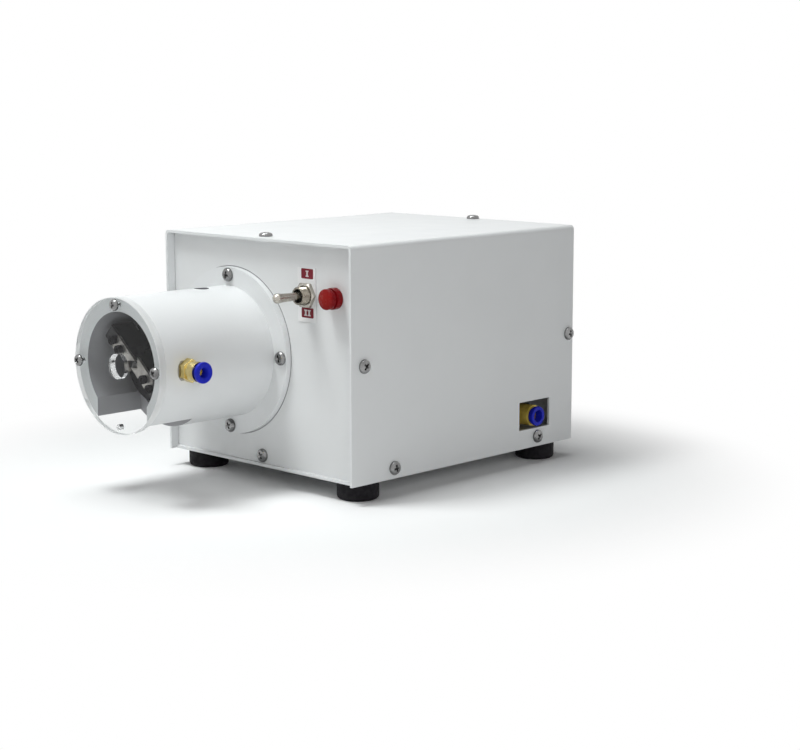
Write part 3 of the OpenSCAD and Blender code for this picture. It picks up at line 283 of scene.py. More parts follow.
blue_plastic = moulded(
    "blue_plastic", (0.015, 0.025, 0.54), roughness=0.36, grain_mm=0.008, Specular_IOR_Level=0.14
)
black_plastic = moulded("black_plastic", (0.02, 0.02, 0.021), roughness=0.5, grain_mm=0.03)
black_rubber = moulded(
    "black_rubber", (0.008, 0.007, 0.009), roughness=0.75, grain_mm=0.04, Specular_IOR_Level=0.25
)
red_print = moulded(
    "red_print", (0.2, 0.008, 0.02), roughness=0.5, grain_mm=0.006, Specular_IOR_Level=0.3
)
white_print = moulded("white_print", (0.8, 0.76, 0.76), roughness=0.5, grain_mm=0.006)

# Blades: bright steel nearer the spindle, going black at their outer, clamped ends
BRIGHT_R, BLACK_R = 19.0, 21.0
blade_steel = metal(
    "blade_steel", (0.42, 0.405, 0.38), roughness=0.36, scratch=(9, 1, 1), dull=(0.22, 0.21, 0.2)
)
blade_radius = blade_steel.from_axis(spindle_x, spindle_z)
blade_steel.tint(blade_radius, (0.008, 0.007, 0.01), start=BRIGHT_R, end=BLACK_R)
metal_share = blade_steel.spread(blade_radius, low=1.0, high=0.3, start=BRIGHT_R, end=BLACK_R)
blade_steel.drive("Metallic", metal_share)

# Front plate: a thin painted contact shadow, dark grey, runs around the head's flange where it meets the
# plate
CONTACT_SHADOW_W = 0.7
flange_r = length("head_housing", X) / 2
from_head = panel_paint.from_axis(spindle_x, spindle_z)
flange_contact_shadow = panel_paint.math("LESS_THAN", from_head, flange_r + CONTACT_SHADOW_W)
panel_paint.tint(flange_contact_shadow, (0.3, 0.3, 0.31), start=0.0, end=1.0)

# Head housing: white outside and on its front face, grey in its bore and slot
PAINT_DEEP = 0.15
head_paint = painted("head_paint", (0.80, 0.815, 0.82))
inside = head_paint.math(
    "MULTIPLY",
    head_paint.math("LESS_THAN", head_paint.from_axis(spindle_x, spindle_z), head_r - PAINT_DEEP),
    head_paint.math("GREATER_THAN", head_paint.coordinate(Y), head_y + PAINT_DEEP),
)
head_paint.tint(inside, (0.33, 0.33, 0.345), start=0.0, end=1.0)

# Clear guard with a frosted rim and a finely turned wire hole; lamps shine through it.
# It bends light less than real acrylic, 1.49, so that its reflections veil the rotor as little as
# in the photograph.
DISC_IOR = 1.25
FROST_DEEP = 0.45
FROST_ROUGH = 0.5
FROST_CLEAR = 0.35
WIRE_HOLE_R = 8.0
HOLE_WALL_DEEP = 0.05
HOLE_WALL_ROUGH = 0.14
clear_plastic = Surface(
    "clear_plastic", (0.98, 0.99, 0.99), IOR=DISC_IOR, Transmission_Weight=1.0,
    Specular_Tint=(0.04, 0.04, 0.04, 1.0),
)
guard_radius = clear_plastic.from_axis(spindle_x, spindle_z)
frosted = clear_plastic.math("GREATER_THAN", guard_radius, head_r - FROST_DEEP)
hole_wall = clear_plastic.math("LESS_THAN", guard_radius, WIRE_HOLE_R + HOLE_WALL_DEEP)
hairlines = clear_plastic.spread(clear_plastic.noise(size_mm=0.8, detail=3), low=0.01, high=0.05)
edge_rough = clear_plastic.math(
    "ADD",
    clear_plastic.math("MULTIPLY", frosted, FROST_ROUGH),
    clear_plastic.math("MULTIPLY", hole_wall, HOLE_WALL_ROUGH),
)
clear_plastic.drive("Roughness", clear_plastic.math("ADD", hairlines, edge_rough))
clearness = clear_plastic.spread(frosted, low=1.0, high=FROST_CLEAR, start=0.0, end=1.0)
clear_plastic.drive("Transmission Weight", clearness)
clear_plastic.bump(clear_plastic.noise(size_mm=0.7, detail=2), height_mm=0.001)


def let_light_through(surface, color):
    """Light from the lamps and the floor passes the surface, so that what is behind it is lit."""
    mix = surface.add("ShaderNodeMixShader")
    clear = surface.add("ShaderNodeBsdfTransparent")
    clear.inputs["Color"].default_value = (*color, 1)
    path = surface.add("ShaderNodeLightPath")
    lighting = surface.math("MAXIMUM", path.outputs["Is Shadow Ray"], path.outputs["Is Diffuse Ray"])
    surface.join(lighting, mix.inputs[0])
    surface.join(surface.shader.outputs[0], mix.inputs[1])
    surface.join(clear.outputs[0], mix.inputs[2])
    surface.join(mix.outputs[0], surface.tree.nodes["Material Output"].inputs["Surface"])


let_light_through(clear_plastic, (0.9, 0.905, 0.905))

# Lamp lens: deep red, with painted light that makes its front brighter and oranger
lens_front_y = edge("lamp_lens", Y, LOW)
LENS_LIT_FRONT_DEEP = 1.6
red_plastic = moulded(
    "red_plastic", (0.22, 0.003, 0.006), roughness=0.25, grain_mm=0.008, Specular_IOR_Level=0.14
)
red_plastic.tint(
    red_plastic.coordinate(Y), (0.28, 0.009, 0.006),
    start=lens_front_y + LENS_LIT_FRONT_DEEP, end=lens_front_y,
)

# Switch bushing: plated outside, black in its mouth
MOUTH_R = 4.45
bushing_metal = metal(
    "bushing_metal", (0.38, 0.35, 0.29), roughness=0.24, scratch=EVEN, dull=(0.2, 0.18, 0.15)
)
in_mouth = bushing_metal.math("LESS_THAN", bushing_metal.from_axis(switch_x, switch_z), MOUTH_R)
bushing_metal.tint(in_mouth, (0.008, 0.008, 0.008), start=0.0, end=1.0)
plated = bushing_metal.spread(in_mouth, low=1.0, high=0.0, start=0.0, end=1.0)
bushing_metal.drive("Metallic", plated)

MATERIAL_OF_SLOT = {
    "white_paint": white_paint, "nickel": nickel, "steel": steel, "blade_steel": blade_steel,
    "black_oxide": black_oxide, "aluminium": aluminium, "brass": brass, "blue_plastic": blue_plastic,
    "clear_plastic": clear_plastic, "red_plastic": red_plastic, "black_plastic": black_plastic,
    "black_rubber": black_rubber, "black_enamel": black_enamel,
}
MATERIAL_OF_NODE = {
    "head_housing": head_paint, "front_plate": panel_paint, "legend_plate": legend_white,
    "blade_arm_a": arm_steel, "blade_arm_b": arm_steel, "inlet_fitting": lit_port_brass,
}


def surface_of(node):
    return MATERIAL_OF_NODE.get(node) or MATERIAL_OF_SLOT[slot_of_node[node]]


for name, node in nodes.items():
    node.data.materials.clear()
    node.data.materials.append(surface_of(name).material)


def mesh_of(work, name):
    """Mesh of a bmesh in metres, with its faces turned outwards."""
    bmesh.ops.recalc_face_normals(work, faces=work.faces)
    data = bpy.data.meshes.new(name)
    work.to_mesh(data)
    work.free()
    return data


def piece_from(name, work, surface, sharp_deg=35, even_faces=False):
    """A new object from a bmesh in metres, shaded smooth except at sharp edges."""
    data = mesh_of(work, name)
    data.materials.append(surface.material)
    data.polygons.foreach_set("use_smooth", [True] * len(data.polygons))
    data.set_sharp_from_angle(angle=math.radians(sharp_deg))
    piece = bpy.data.objects.new(name, data)
    bpy.context.scene.collection.objects.link(piece)
    if even_faces:
        weighted = piece.modifiers.new("even_faces", "WEIGHTED_NORMAL")
        weighted.keep_sharp = True
    return piece


def node_body(node):
    return nodes[node]["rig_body"]


def stand_for(piece, node):
    """The piece takes the place of a CAD node and moves with its body."""
    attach(piece, node_body(node))
    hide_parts(node)


# Pieces whose sharp CAD edges get a small round, in millimetres
EDGE_ROUNDS = {
    "cover": 0.4, "bottom_pan": 0.3, "front_plate": 0.5, "rear_plate": 0.5, "head_housing": 0.25,
    "guard_disc": 0.25, "legend_plate": 0.15, "rubber_feet": 0.6, "blow_fitting": 0.3,
    "inlet_fitting": 0.3, "inlet_collar": 0.4, "lamp_lens": 0.35, "rotor": 0.4, "blade_arm_a": 0.4,
    "blade_arm_b": 0.4, "blade_a": 0.1, "blade_b": 0.1, "blade_screws_a": 0.25, "blade_screws_b": 0.25,
    "rotor_screws": 0.25, "cable_gland": 0.4,
}
FLAT_DEG = 0.5
SHARP_DEG = 28
WELD = 0.001


def rounded_copy(node, width_mm):
    """The node's mesh with its sharp edges rounded, as a piece that stands for it."""
    work = bmesh.new()
    work.from_mesh(nodes[node].data)
    bmesh.ops.remove_doubles(work, verts=work.verts, dist=WELD * MM)
    bmesh.ops.dissolve_limit(
        work, angle_limit=math.radians(FLAT_DEG), verts=work.verts, edges=work.edges
    )
    sharp = [
        e for e in work.edges
        if len(e.link_faces) == 2 and e.calc_face_angle(0) > math.radians(SHARP_DEG)
    ]
    bmesh.ops.bevel(
        work, geom=sharp, offset=width_mm * MM, offset_type="OFFSET", segments=2, profile=0.5,
        affect="EDGES", clamp_overlap=True,
    )
    stand_for(piece_from(node + "_rounded", work, surface_of(node), even_faces=True), node)


for name, width in EDGE_ROUNDS.items():
    rounded_copy(name, width)


def ring_of(work, height, radii):
    """A ring of points about the local z axis, with one radius for each point, in millimetres."""
    ring = []
    for i, radius in enumerate(radii):
        turn = 2 * math.pi * i / len(radii)
        ring.append(work.verts.new(Vector((
            radius * math.cos(turn), radius * math.sin(turn), height,
        )) * MM))
    return ring


def lathe(work, profile, steps=48):
    """Turns a profile of (radius, height) points, in millimetres, about the local z axis."""
    rings = []
    for radius, height in profile:
        if radius == 0:
            rings.append([work.verts.new((0, 0, height * MM))])
        else:
            rings.append(ring_of(work, height, [radius] * steps))
    join_rings(work, rings)


def join_rings(work, rings):
    """Faces between rings of points that lie one after another; a single point closes an end."""
    for lower, upper in zip(rings, rings[1:]):
        steps = max(len(lower), len(upper))
        for i in range(steps):
            corners = [
                lower[i % len(lower)], lower[(i + 1) % len(lower)],
                upper[(i + 1) % len(upper)], upper[i % len(upper)],
            ]
            work.faces.new(list(dict.fromkeys(corners)))


def placed(point, out, twist_deg=0.0):
    """Matrix that takes the local z axis to out at a point in millimetres, with a twist about it."""
    turn = Vector(out).to_track_quat("Z", "Y").to_matrix().to_4x4()
    return Matrix.Translation(Vector(point) * MM) @ turn @ Matrix.Rotation(math.radians(twist_deg), 4, "Z")


LEFT, RIGHT, FRONT, BACK, UP = (-1, 0, 0), (1, 0, 0), (0, -1, 0), (0, 1, 0), (0, 0, 1)
SQUARE_CORNERS = ((-1, -1), (1, -1), (1, 1), (-1, 1))

# Pan head screws with a tapered cross recess
PAN_HEAD_D, PAN_HEAD_H = 9.0, 2.6
GUARD_HEAD_D, GUARD_HEAD_H = 7.5, 2.4
RECESS_SHARE = 0.6
RECESS_DEEP = 1.8
RECESS_OVER = 0.5
WING_SHARE = 0.3
FLOOR_SHARE = 0.5
STUB_SHARE, STUB_DEEP = 0.4, 0.4
SEAT_ROUND = 0.15
# Points of the crown, as shares of the head's radius and height
CROWN = ((1.0, 0.3), (0.96, 0.55), (0.86, 0.8), (0.68, 0.95), (0.4, 1.0))
SIDE_SCREW_H = 75.0
LOW_SCREW_INSET = 37.5


def recess_bar(work, reach, wing, head_h, turn):
    """One bar of a cross recess, smaller at its floor."""
    spin = Matrix.Rotation(turn, 3, "Z")
    rings = []
    for height, share in ((head_h + RECESS_OVER, 1.0), (head_h - RECESS_DEEP, FLOOR_SHARE)):
        rings.append([
            work.verts.new(spin @ Vector((sx * reach * share, sy * wing * share, height)) * MM)
            for sx, sy in SQUARE_CORNERS
        ])
    join_rings(work, rings)
    for ring in rings:
        work.faces.new(ring)


def cut_away(body_data, cutter_data):
    """Mesh of the first solid with the second cut out of it."""
    body = bpy.data.objects.new("cut_body", body_data)
    cutter = bpy.data.objects.new("cut_cutter", cutter_data)
    for thing in (body, cutter):
        bpy.context.scene.collection.objects.link(thing)
    cut = body.modifiers.new("cut", "BOOLEAN")
    cut.object = cutter
    cut.operation = "DIFFERENCE"
    cut.solver = "EXACT"
    cut.use_self = True
    bpy.context.view_layer.update()
    evaluated = body.evaluated_get(bpy.context.evaluated_depsgraph_get())
    result = bpy.data.meshes.new_from_object(evaluated)
    for thing in (body, cutter):
        bpy.data.objects.remove(thing, do_unlink=True)
    return result


def pan_head(head_d, head_h):
    """Mesh of one screw head with its recess, seat at the local floor, head along local z."""
    half = head_d / 2
    head = bmesh.new()
    stub_r = half * STUB_SHARE
    profile = [(0, -STUB_DEEP), (stub_r, -STUB_DEEP), (stub_r, 0)]
    profile += [(half - SEAT_ROUND, 0), (half, SEAT_ROUND)]
    profile += [(half * across, head_h * up) for across, up in CROWN]
    lathe(head, profile + [(0, head_h)])
    cutter = bmesh.new()
    reach = half * RECESS_SHARE
    for turn in (0, math.pi / 2):
        recess_bar(cutter, reach, reach * WING_SHARE, head_h, turn)
    return cut_away(mesh_of(head, "screw_head"), mesh_of(cutter, "screw_recess"))


def copies(name, data, places, surface):
    """One piece that holds a copy of the mesh at each place."""
    work = bmesh.new()
    for place in places:
        before = len(work.verts)
        work.from_mesh(data)
        work.verts.ensure_lookup_table()
        bmesh.ops.transform(work, matrix=place, verts=work.verts[before:])
    return piece_from(name, work, surface, sharp_deg=30)


def around_spindle(radius, turn_deg, y, twist_deg):
    """Place on a circle about the spindle's axis, facing the front."""
    turn = math.radians(turn_deg)
    point = (spindle_x + radius * math.cos(turn), y, spindle_z + radius * math.sin(turn))
    return placed(point, FRONT, twist_deg)


# Places of the screws, with their recesses turned this way and that
plate_mid_y = middle("front_plate", Y)
rear_mid_y = middle("rear_plate", Y)
base_mid_z = middle("base_plate", Z)
cover_places = []
for y, twist in ((plate_mid_y, 20), (rear_mid_y, 65)):
    cover_places.append(placed((0, y, top_z), UP, twist))
    cover_places.append(placed((side_x, y, cover_z + SIDE_SCREW_H), RIGHT, twist + 30))
    cover_places.append(placed((-side_x, y, cover_z + SIDE_SCREW_H), LEFT, twist + 8))
for y, twist in ((front_y + LOW_SCREW_INSET, 12), (rear_back_y - LOW_SCREW_INSET, 50)):
    cover_places.append(placed((side_x, y, base_mid_z), RIGHT, twist))
    cover_places.append(placed((-side_x, y, base_mid_z), LEFT, twist + 40))
panel_head = pan_head(PAN_HEAD_D, PAN_HEAD_H)
stand_for(copies("cover_screw_heads", panel_head, cover_places, screw_zinc), "cover_screws")

FLANGE_T = 4.0
FLANGE_PCD = 100.0
panel_places = [
    placed((0, panel_y, base_mid_z), FRONT, 25),
    placed((0, rear_back_y, base_mid_z), BACK, 70),
]
for turn_deg in range(0, 360, 90):
    panel_places.append(around_spindle(FLANGE_PCD / 2, turn_deg, panel_y - FLANGE_T, turn_deg * 0.7 + 15))
stand_for(copies("panel_screw_heads", panel_head, panel_places, screw_zinc), "panel_screws")

guard_screw_r = (length("guard_screws", X) - GUARD_HEAD_D) / 2
guard_places = [
    around_spindle(guard_screw_r, turn_deg, guard_y, turn_deg * 0.6 + 35) for turn_deg in (0, 90, 180)
]
guard_head = pan_head(GUARD_HEAD_D, GUARD_HEAD_H)
stand_for(copies("guard_screw_heads", guard_head, guard_places, screw_zinc), "guard_screws")

# Release collar on the head: a wide round-edged flange on a neck, open for the tube
COLLAR_R, COLLAR_T = 6.6, 2.3
COLLAR_ROUND, COLLAR_CHAMFER = 0.6, 0.3
ROUND_STEPS = 4
TUBE_R, LEAD_IN = 3.1, 0.7
NECK_R = 3.9


def turned_collar():
    far, near = edge("blow_collar", X, HIGH), edge("blow_collar", X, LOW)
    long = far - near
    back = long - COLLAR_T
    profile = [(TUBE_R, 0), (NECK_R, 0), (NECK_R, back)]
    profile += [(COLLAR_R - COLLAR_CHAMFER, back), (COLLAR_R, back + COLLAR_CHAMFER)]
    for i in range(ROUND_STEPS + 1):
        angle = math.pi / 2 * i / ROUND_STEPS
        profile.append((
            COLLAR_R - COLLAR_ROUND * (1 - math.cos(angle)), long - COLLAR_ROUND * (1 - math.sin(angle)),
        ))
    profile += [(TUBE_R + LEAD_IN, long), (TUBE_R, long - LEAD_IN), (TUBE_R, 0)]
    work = bmesh.new()
    lathe(work, profile)
    bmesh.ops.remove_doubles(work, verts=work.verts, dist=WELD * MM)
    work.transform(placed((near, middle("blow_collar", Y), middle("blow_collar", Z)), RIGHT))
    stand_for(piece_from("turned_collar", work, blue_plastic, sharp_deg=50), "blow_collar")


turned_collar()

# Switch: threaded bushing, chamfered nut, turned lever and the two printed fields of the legend
THREAD_PITCH = 0.9
THREAD_DEEP = 0.4
THREAD_ROWS = 8
BORE_R = 4.15
BORE_FLOOR = 0.5
MOUTH_DEEP = 1.1
SWITCH_STEPS = 72
# Nut: heights of its rows of points as shares of its thickness, and its bore
NUT_ROWS = (0.0, 0.5, 0.7, 0.76, 0.82, 0.88, 0.94, 1.0)
NUT_FACE_SHARE = 0.97
NUT_PLAY = 0.1
NUT_MOUTH, NUT_MOUTH_DEEP = 0.5, 0.4
# Lever: stem as radius and height over the ball's middle, neck as radius and depth under the tip
LEVER_TIP_R = 3.2
BALL_TOP_SHARE = 0.85
STEM_R = 2.5
STEM_ROWS = ((STEM_R, 5.0), (2.6, 10.0))
NECK_ROWS = ((2.75, 6.4), (2.9, 5.2))
# Rows of points on the ball and on the tip, steps of a half turn, and the tip's start in half turns
LEVER_ROWS, LEVER_HALF_TURN = 9, 12
TIP_START = -1 / 6


def threaded_bushing():
    long = panel_y - bushing_front_y
    rows = int(long / THREAD_PITCH * THREAD_ROWS)
    work = bmesh.new()
    rings = []
    for row in range(rows + 1):
        height = long * row / rows
        lead_in = bushing_r - THREAD_DEEP + (long - height)
        radii = []
        for i in range(SWITCH_STEPS):
            phase = (height / THREAD_PITCH - i / SWITCH_STEPS) % 1
            radii.append(min(bushing_r - THREAD_DEEP * abs(2 * phase - 1), lead_in))
        rings.append(ring_of(work, height, radii))
    for radius, height in ((MOUTH_R, long), (BORE_R, long - MOUTH_DEEP), (BORE_R, BORE_FLOOR)):
        rings.append(ring_of(work, height, [radius] * SWITCH_STEPS))
    join_rings(work, rings)
    work.faces.new(rings[0])
    work.faces.new(rings[-1])
    work.transform(placed((switch_x, panel_y, switch_z), FRONT))
    stand_for(piece_from("threaded_bushing", work, bushing_metal, sharp_deg=60), "switch_bushing")


def chamfered_nut():
    flats = min(length("switch_nut", X), length("switch_nut", Z))
    thick = length("switch_nut", Y)
    work = bmesh.new()
    rings = []
    for share in NUT_ROWS:
        height = thick * share
        chamfer = flats / 2 * NUT_FACE_SHARE + (thick - height) * math.sqrt(3)
        radii = []
        for i in range(SWITCH_STEPS):
            off_flat = 2 * math.pi * i / SWITCH_STEPS % (math.pi / 3) - math.pi / 6
            radii.append(min(flats / 2 / math.cos(off_flat), chamfer))
        rings.append(ring_of(work, height, radii))
    bore_r = bushing_r + NUT_PLAY
    for radius, height in ((bushing_r + NUT_MOUTH, thick), (bore_r, thick - NUT_MOUTH_DEEP), (bore_r, 0)):
        rings.append(ring_of(work, height, [radius] * SWITCH_STEPS))
    rings.append(rings[0])
    join_rings(work, rings)
    work.transform(placed((switch_x, legend_y, switch_z), FRONT))
    stand_for(piece_from("chamfered_nut", work, nickel, sharp_deg=25), "switch_nut")


def turned_lever():
    tip_y = edge("toggle_lever", Y, LOW)
    ball_r = length("toggle_lever", X) / 2
    ball_y = edge("toggle_lever", Y, HIGH) - ball_r
    long = ball_y - tip_y
    profile = [(0, -ball_r)]
    for i in range(1, LEVER_ROWS):
        angle = math.pi * i / LEVER_HALF_TURN - math.pi / 2
        profile.append((ball_r * math.cos(angle), ball_r * math.sin(angle)))
    profile += [(STEM_R, ball_r * BALL_TOP_SHARE), *STEM_ROWS]
    profile += [(radius, long - below_tip) for radius, below_tip in NECK_ROWS]
    for i in range(LEVER_ROWS):
        angle = math.pi * (i / LEVER_HALF_TURN + TIP_START)
        rise = LEVER_TIP_R * math.sin(angle)
        profile.append((LEVER_TIP_R * math.cos(angle), long - LEVER_TIP_R + rise))
    profile[-1] = (0, long)
    work = bmesh.new()
    lathe(work, profile)
    work.transform(placed((switch_x, ball_y, switch_z), FRONT))
    stand_for(piece_from("turned_lever", work, nickel, sharp_deg=50), "toggle_lever")


def slab(name, center, size, thick, corner, surface):
    """A thin printed field with round corners that lies on a face towards the front."""
    half_w, half_h = size[0] / 2 - corner, size[1] / 2 - corner
    outline = []
    for quarter, (sx, sz) in enumerate(((1, 1), (-1, 1), (-1, -1), (1, -1))):
        for i in range(ROUND_STEPS + 1):
            turn = math.pi / 2 * (quarter + i / ROUND_STEPS)
            outline.append((
                center[X] + sx * half_w + corner * math.cos(turn),
                center[Z] + sz * half_h + corner * math.sin(turn),
            ))
    work = bmesh.new()
    rings = [
        [work.verts.new(Vector((x, y, z)) * MM) for x, z in outline]
        for y in (center[Y], center[Y] - thick)
    ]
    join_rings(work, rings)
    for ring in rings:
        work.faces.new(ring)
    piece = piece_from(name, work, surface)
    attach(piece, node_body("legend_plate"))


FIELD_SIZE = (10.8, 6.4)
FIELD_T = 0.1
FIELD_RIGHT = 0.9
FIELD_UP, FIELD_DOWN = 13.6, -11.1
MARK_SIZE = (1.3, 3.9)
SERIF_SIZE = (2.6, 0.75)
MARK_PITCH = 3.2
FIELD_CORNER, MARK_CORNER = 0.7, 0.15
SERIF_T = FIELD_T * 1.2


def printed_field(name, rise, bars):
    """A red field with one or two upright bars, above or below the lever."""
    center = (switch_x + FIELD_RIGHT, legend_y, switch_z + rise)
    slab(name, center, FIELD_SIZE, FIELD_T, FIELD_CORNER, red_print)
    for bar in range(bars):
        x = center[X] + (bar - (bars - 1) / 2) * MARK_PITCH
        at = (x, legend_y - FIELD_T, center[Z])
        slab(f"{name}_bar_{bar}", at, MARK_SIZE, FIELD_T, MARK_CORNER, white_print)
        for end in (-1, 1):
            foot = (x, legend_y - FIELD_T, center[Z] + end * (MARK_SIZE[1] - SERIF_SIZE[1]) / 2)
            serif = f"{name}_serif_{bar}_{end + 1}"
            slab(serif, foot, SERIF_SIZE, SERIF_T, MARK_CORNER, white_print)


threaded_bushing()
chamfered_nut()
turned_lever()
printed_field("field_up", FIELD_UP, bars=1)
printed_field("field_down", FIELD_DOWN, bars=2)

# Wound and elastic pieces inside
SPRING_WIRE_R = 0.9
SPRING_TURNS = 4
SPRING_STEPS = 40
RING_WIRE_R = 1.5
RING_FIT = 0.97
HALF_RING_STEPS = 48
WIRE_SIDES = 12


def tube_along(work, path, radius):
    """A round tube through points in millimetres."""
    rings = []
    for i, point in enumerate(path):
        ahead = path[min(i + 1, len(path) - 1)]
        behind = path[max(i - 1, 0)]
        turn = (ahead - behind).to_track_quat("Z", "Y").to_matrix()
        rings.append([
            work.verts.new((point + turn @ Vector((
                radius * math.cos(2 * math.pi * k / WIRE_SIDES),
                radius * math.sin(2 * math.pi * k / WIRE_SIDES),
                0,
            ))) * MM)
            for k in range(WIRE_SIDES)
        ])
    join_rings(work, rings)
    for ring in (rings[0], rings[-1]):
        work.faces.new(ring)


def wound_spring():
    coil_r = length("cylinder_spring", X) / 2 - SPRING_WIRE_R
    axis_x, axis_z = middle("cylinder_spring", X), middle("cylinder_spring", Z)
    start_y = edge("cylinder_spring", Y, LOW) + SPRING_WIRE_R
    end_y = edge("cylinder_spring", Y, HIGH) - SPRING_WIRE_R
    steps = SPRING_TURNS * SPRING_STEPS
    path = []
    for i in range(steps + 1):
        turn = 2 * math.pi * i / SPRING_STEPS
        path.append(Vector((
            axis_x + coil_r * math.cos(turn),
            start_y + (end_y - start_y) * i / steps,
            axis_z + coil_r * math.sin(turn),
        )))
    work = bmesh.new()
    tube_along(work, path, SPRING_WIRE_R)
    piece = piece_from("wound_spring", work, steel)
    stand_for(piece, "cylinder_spring")
    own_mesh(piece)


def elastic_ring():
    """Two halves of the return ring, each centred on its arm's side of the spindle."""
    ring_r = length("return_ring", X) / 2 - RING_WIRE_R
    ring_y = middle("return_ring", Y)
    center = Vector((spindle_x, ring_y, spindle_z))
    for letter in "ab":
        arm = "blade_arm_" + letter
        mid = math.atan2(middle(arm, Z) - spindle_z, middle(arm, X) - spindle_x)
        path = []
        for i in range(HALF_RING_STEPS + 1):
            turn = mid + math.pi * (i / HALF_RING_STEPS - 0.5)
            path.append(center + ring_r * Vector((math.cos(turn), 0, math.sin(turn))))
        work = bmesh.new()
        tube_along(work, path, RING_WIRE_R * RING_FIT)
        half = piece_from("elastic_ring_" + letter, work, black_rubber)
        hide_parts("return_ring")
        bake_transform(half)


wound_spring()
elastic_ring()

# Camera at the photograph's place, for an image of 800 by 750
CAMERA_AT = (858.55, -821.20, 261.18)
CAMERA_FORWARD = (-0.68582, 0.70920, -0.16337)
CAMERA_ROLL_DEG = -0.11
FOCAL_PX, IMAGE_W_PX = 1783.34, 800
SENSOR_MM = 36.0
CLIP_END = 50


def photo_camera():
    forward = Vector(CAMERA_FORWARD).normalized()
    right = forward.cross(Vector(UP)).normalized()
    turn = Matrix((right, right.cross(forward), -forward)).transposed().to_4x4()
    data = bpy.data.cameras.new("photo_camera")
    data.sensor_width = SENSOR_MM
    data.lens = FOCAL_PX / IMAGE_W_PX * SENSOR_MM
    data.clip_end = CLIP_END
    camera = bpy.data.objects.new("photo_camera", data)
    camera.matrix_world = (
        Matrix.Translation(Vector(CAMERA_AT) * MM) @ turn
        @ Matrix.Rotation(math.radians(CAMERA_ROLL_DEG), 4, "Z")
    )
    bpy.context.scene.collection.objects.link(camera)
    bpy.context.scene.camera = camera


photo_camera()

# Floor, world and lamps, in metres; the floor has one white for bounced light and one for the eye
FLOOR_HALF = 6.0
FLOOR_BOUNCE = 0.95
FLOOR_SHOWN = 1.0
GLOW_START, GLOW_END = 0.17, 0.32
AMBIENT = 0.08


def seen_by_eye(tree):
    """1 for rays that show the background: straight, mirrored or through glass."""
    path = tree.nodes.new("ShaderNodeLightPath")
    total = path.outputs["Is Camera Ray"]
    for name in ("Is Glossy Ray", "Is Transmission Ray"):
        most = tree.nodes.new("ShaderNodeMath")
        most.operation = "MAXIMUM"
        tree.links.new(total, most.inputs[0])
        tree.links.new(path.outputs[name], most.inputs[1])
        total = most.outputs[0]
    return total


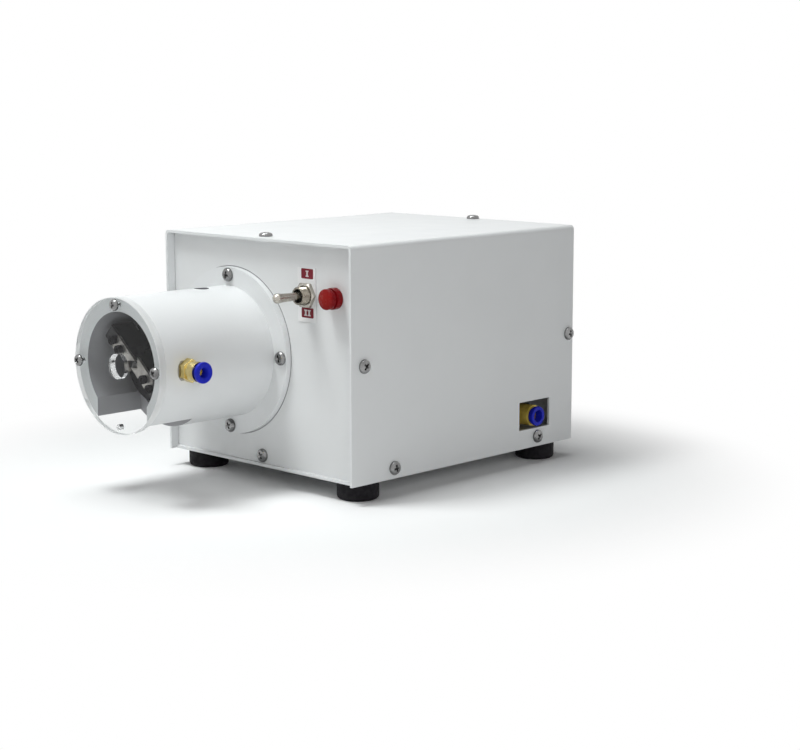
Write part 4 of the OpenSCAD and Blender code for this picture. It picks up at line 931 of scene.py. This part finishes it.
def floor_material():
    """White that takes shadows near the part and, for the eye, fades to a plain glow further out."""
    material = bpy.data.materials.new("floor_white")
    material.use_nodes = True
    tree = material.node_tree
    tree.nodes.clear()
    output = tree.nodes.new("ShaderNodeOutputMaterial")
    both = tree.nodes.new("ShaderNodeMixShader")
    diffuse = tree.nodes.new("ShaderNodeBsdfDiffuse")
    glow = tree.nodes.new("ShaderNodeEmission")
    place = tree.nodes.new("ShaderNodeTexCoord")
    far = tree.nodes.new("ShaderNodeVectorMath")
    far.operation = "LENGTH"
    fade = tree.nodes.new("ShaderNodeMapRange")
    fade.interpolation_type = "SMOOTHSTEP"
    fade.inputs["From Min"].default_value = GLOW_START
    fade.inputs["From Max"].default_value = GLOW_END
    shown = tree.nodes.new("ShaderNodeMath")
    shown.operation = "MULTIPLY"
    tone = tree.nodes.new("ShaderNodeMix")
    tone.data_type = "RGBA"
    tone.inputs[MIX_A].default_value = (FLOOR_BOUNCE, FLOOR_BOUNCE, FLOOR_BOUNCE, 1)
    tone.inputs[MIX_B].default_value = (FLOOR_SHOWN, FLOOR_SHOWN, FLOOR_SHOWN, 1)
    eye = seen_by_eye(tree)
    tree.links.new(eye, tone.inputs[MIX_FACTOR])
    tree.links.new(tone.outputs[MIX_COLOR], diffuse.inputs["Color"])
    tree.links.new(place.outputs["Object"], far.inputs[0])
    tree.links.new(far.outputs["Value"], fade.inputs["Value"])
    tree.links.new(fade.outputs["Result"], shown.inputs[0])
    tree.links.new(eye, shown.inputs[1])
    tree.links.new(shown.outputs[0], both.inputs[0])
    tree.links.new(diffuse.outputs[0], both.inputs[1])
    tree.links.new(glow.outputs[0], both.inputs[2])
    tree.links.new(both.outputs[0], output.inputs["Surface"])
    return material


def white_floor():
    data = bpy.data.meshes.new("floor")
    corners = [(x * FLOOR_HALF, y * FLOOR_HALF, 0) for x, y in SQUARE_CORNERS]
    data.from_pydata(corners, [], [(0, 1, 2, 3)])
    data.materials.append(floor_material())
    floor = bpy.data.objects.new("floor", data)
    bpy.context.scene.collection.objects.link(floor)


def white_world():
    world = bpy.data.worlds.new("studio")
    bpy.context.scene.world = world
    world.use_nodes = True
    tree = world.node_tree
    back = tree.nodes["Background"]
    back.inputs["Color"].default_value = (1, 1, 1, 1)
    strength = tree.nodes.new("ShaderNodeMapRange")
    strength.inputs["To Min"].default_value = AMBIENT
    strength.inputs["To Max"].default_value = 1.0
    tree.links.new(seen_by_eye(tree), strength.inputs["Value"])
    tree.links.new(strength.outputs["Result"], back.inputs["Strength"])


def soft_lamp(name, at, aim, size, watts, color=(1, 1, 1), mirrored=True):
    """A square lamp, in metres; one that isn't mirrored lights surfaces but shows in no reflection."""
    data = bpy.data.lights.new(name, "AREA")
    data.shape = "SQUARE"
    data.size = size
    data.energy = watts
    data.color = color
    lamp = bpy.data.objects.new(name, data)
    direction = Vector(aim) - Vector(at)
    lamp.matrix_world = Matrix.Translation(at) @ direction.to_track_quat("-Z", "Y").to_matrix().to_4x4()
    lamp.visible_glossy = mirrored
    bpy.context.scene.collection.objects.link(lamp)


white_floor()
white_world()
COOL_WHITE = (0.97, 1.0, 1.0)
soft_lamp("top_box", (-0.1, 0.0, 2.3), aim=(0, -0.05, 0), size=0.9, watts=14.2, color=COOL_WHITE)
soft_lamp("head_box", (-0.12, -0.3, 0.75), aim=(0, -0.1, 0.1), size=0.2, watts=3.0, color=COOL_WHITE)
soft_lamp("front_box", (-0.3, -1.0, 1.0), aim=(0, 0, 0.05), size=0.5, watts=2.2)
soft_lamp("right_fill", (0.95, -0.5, 0.4), aim=(0.05, 0, 0.05), size=0.5, watts=2.4, mirrored=False)
bpy.context.scene.view_settings.view_transform = "Standard"
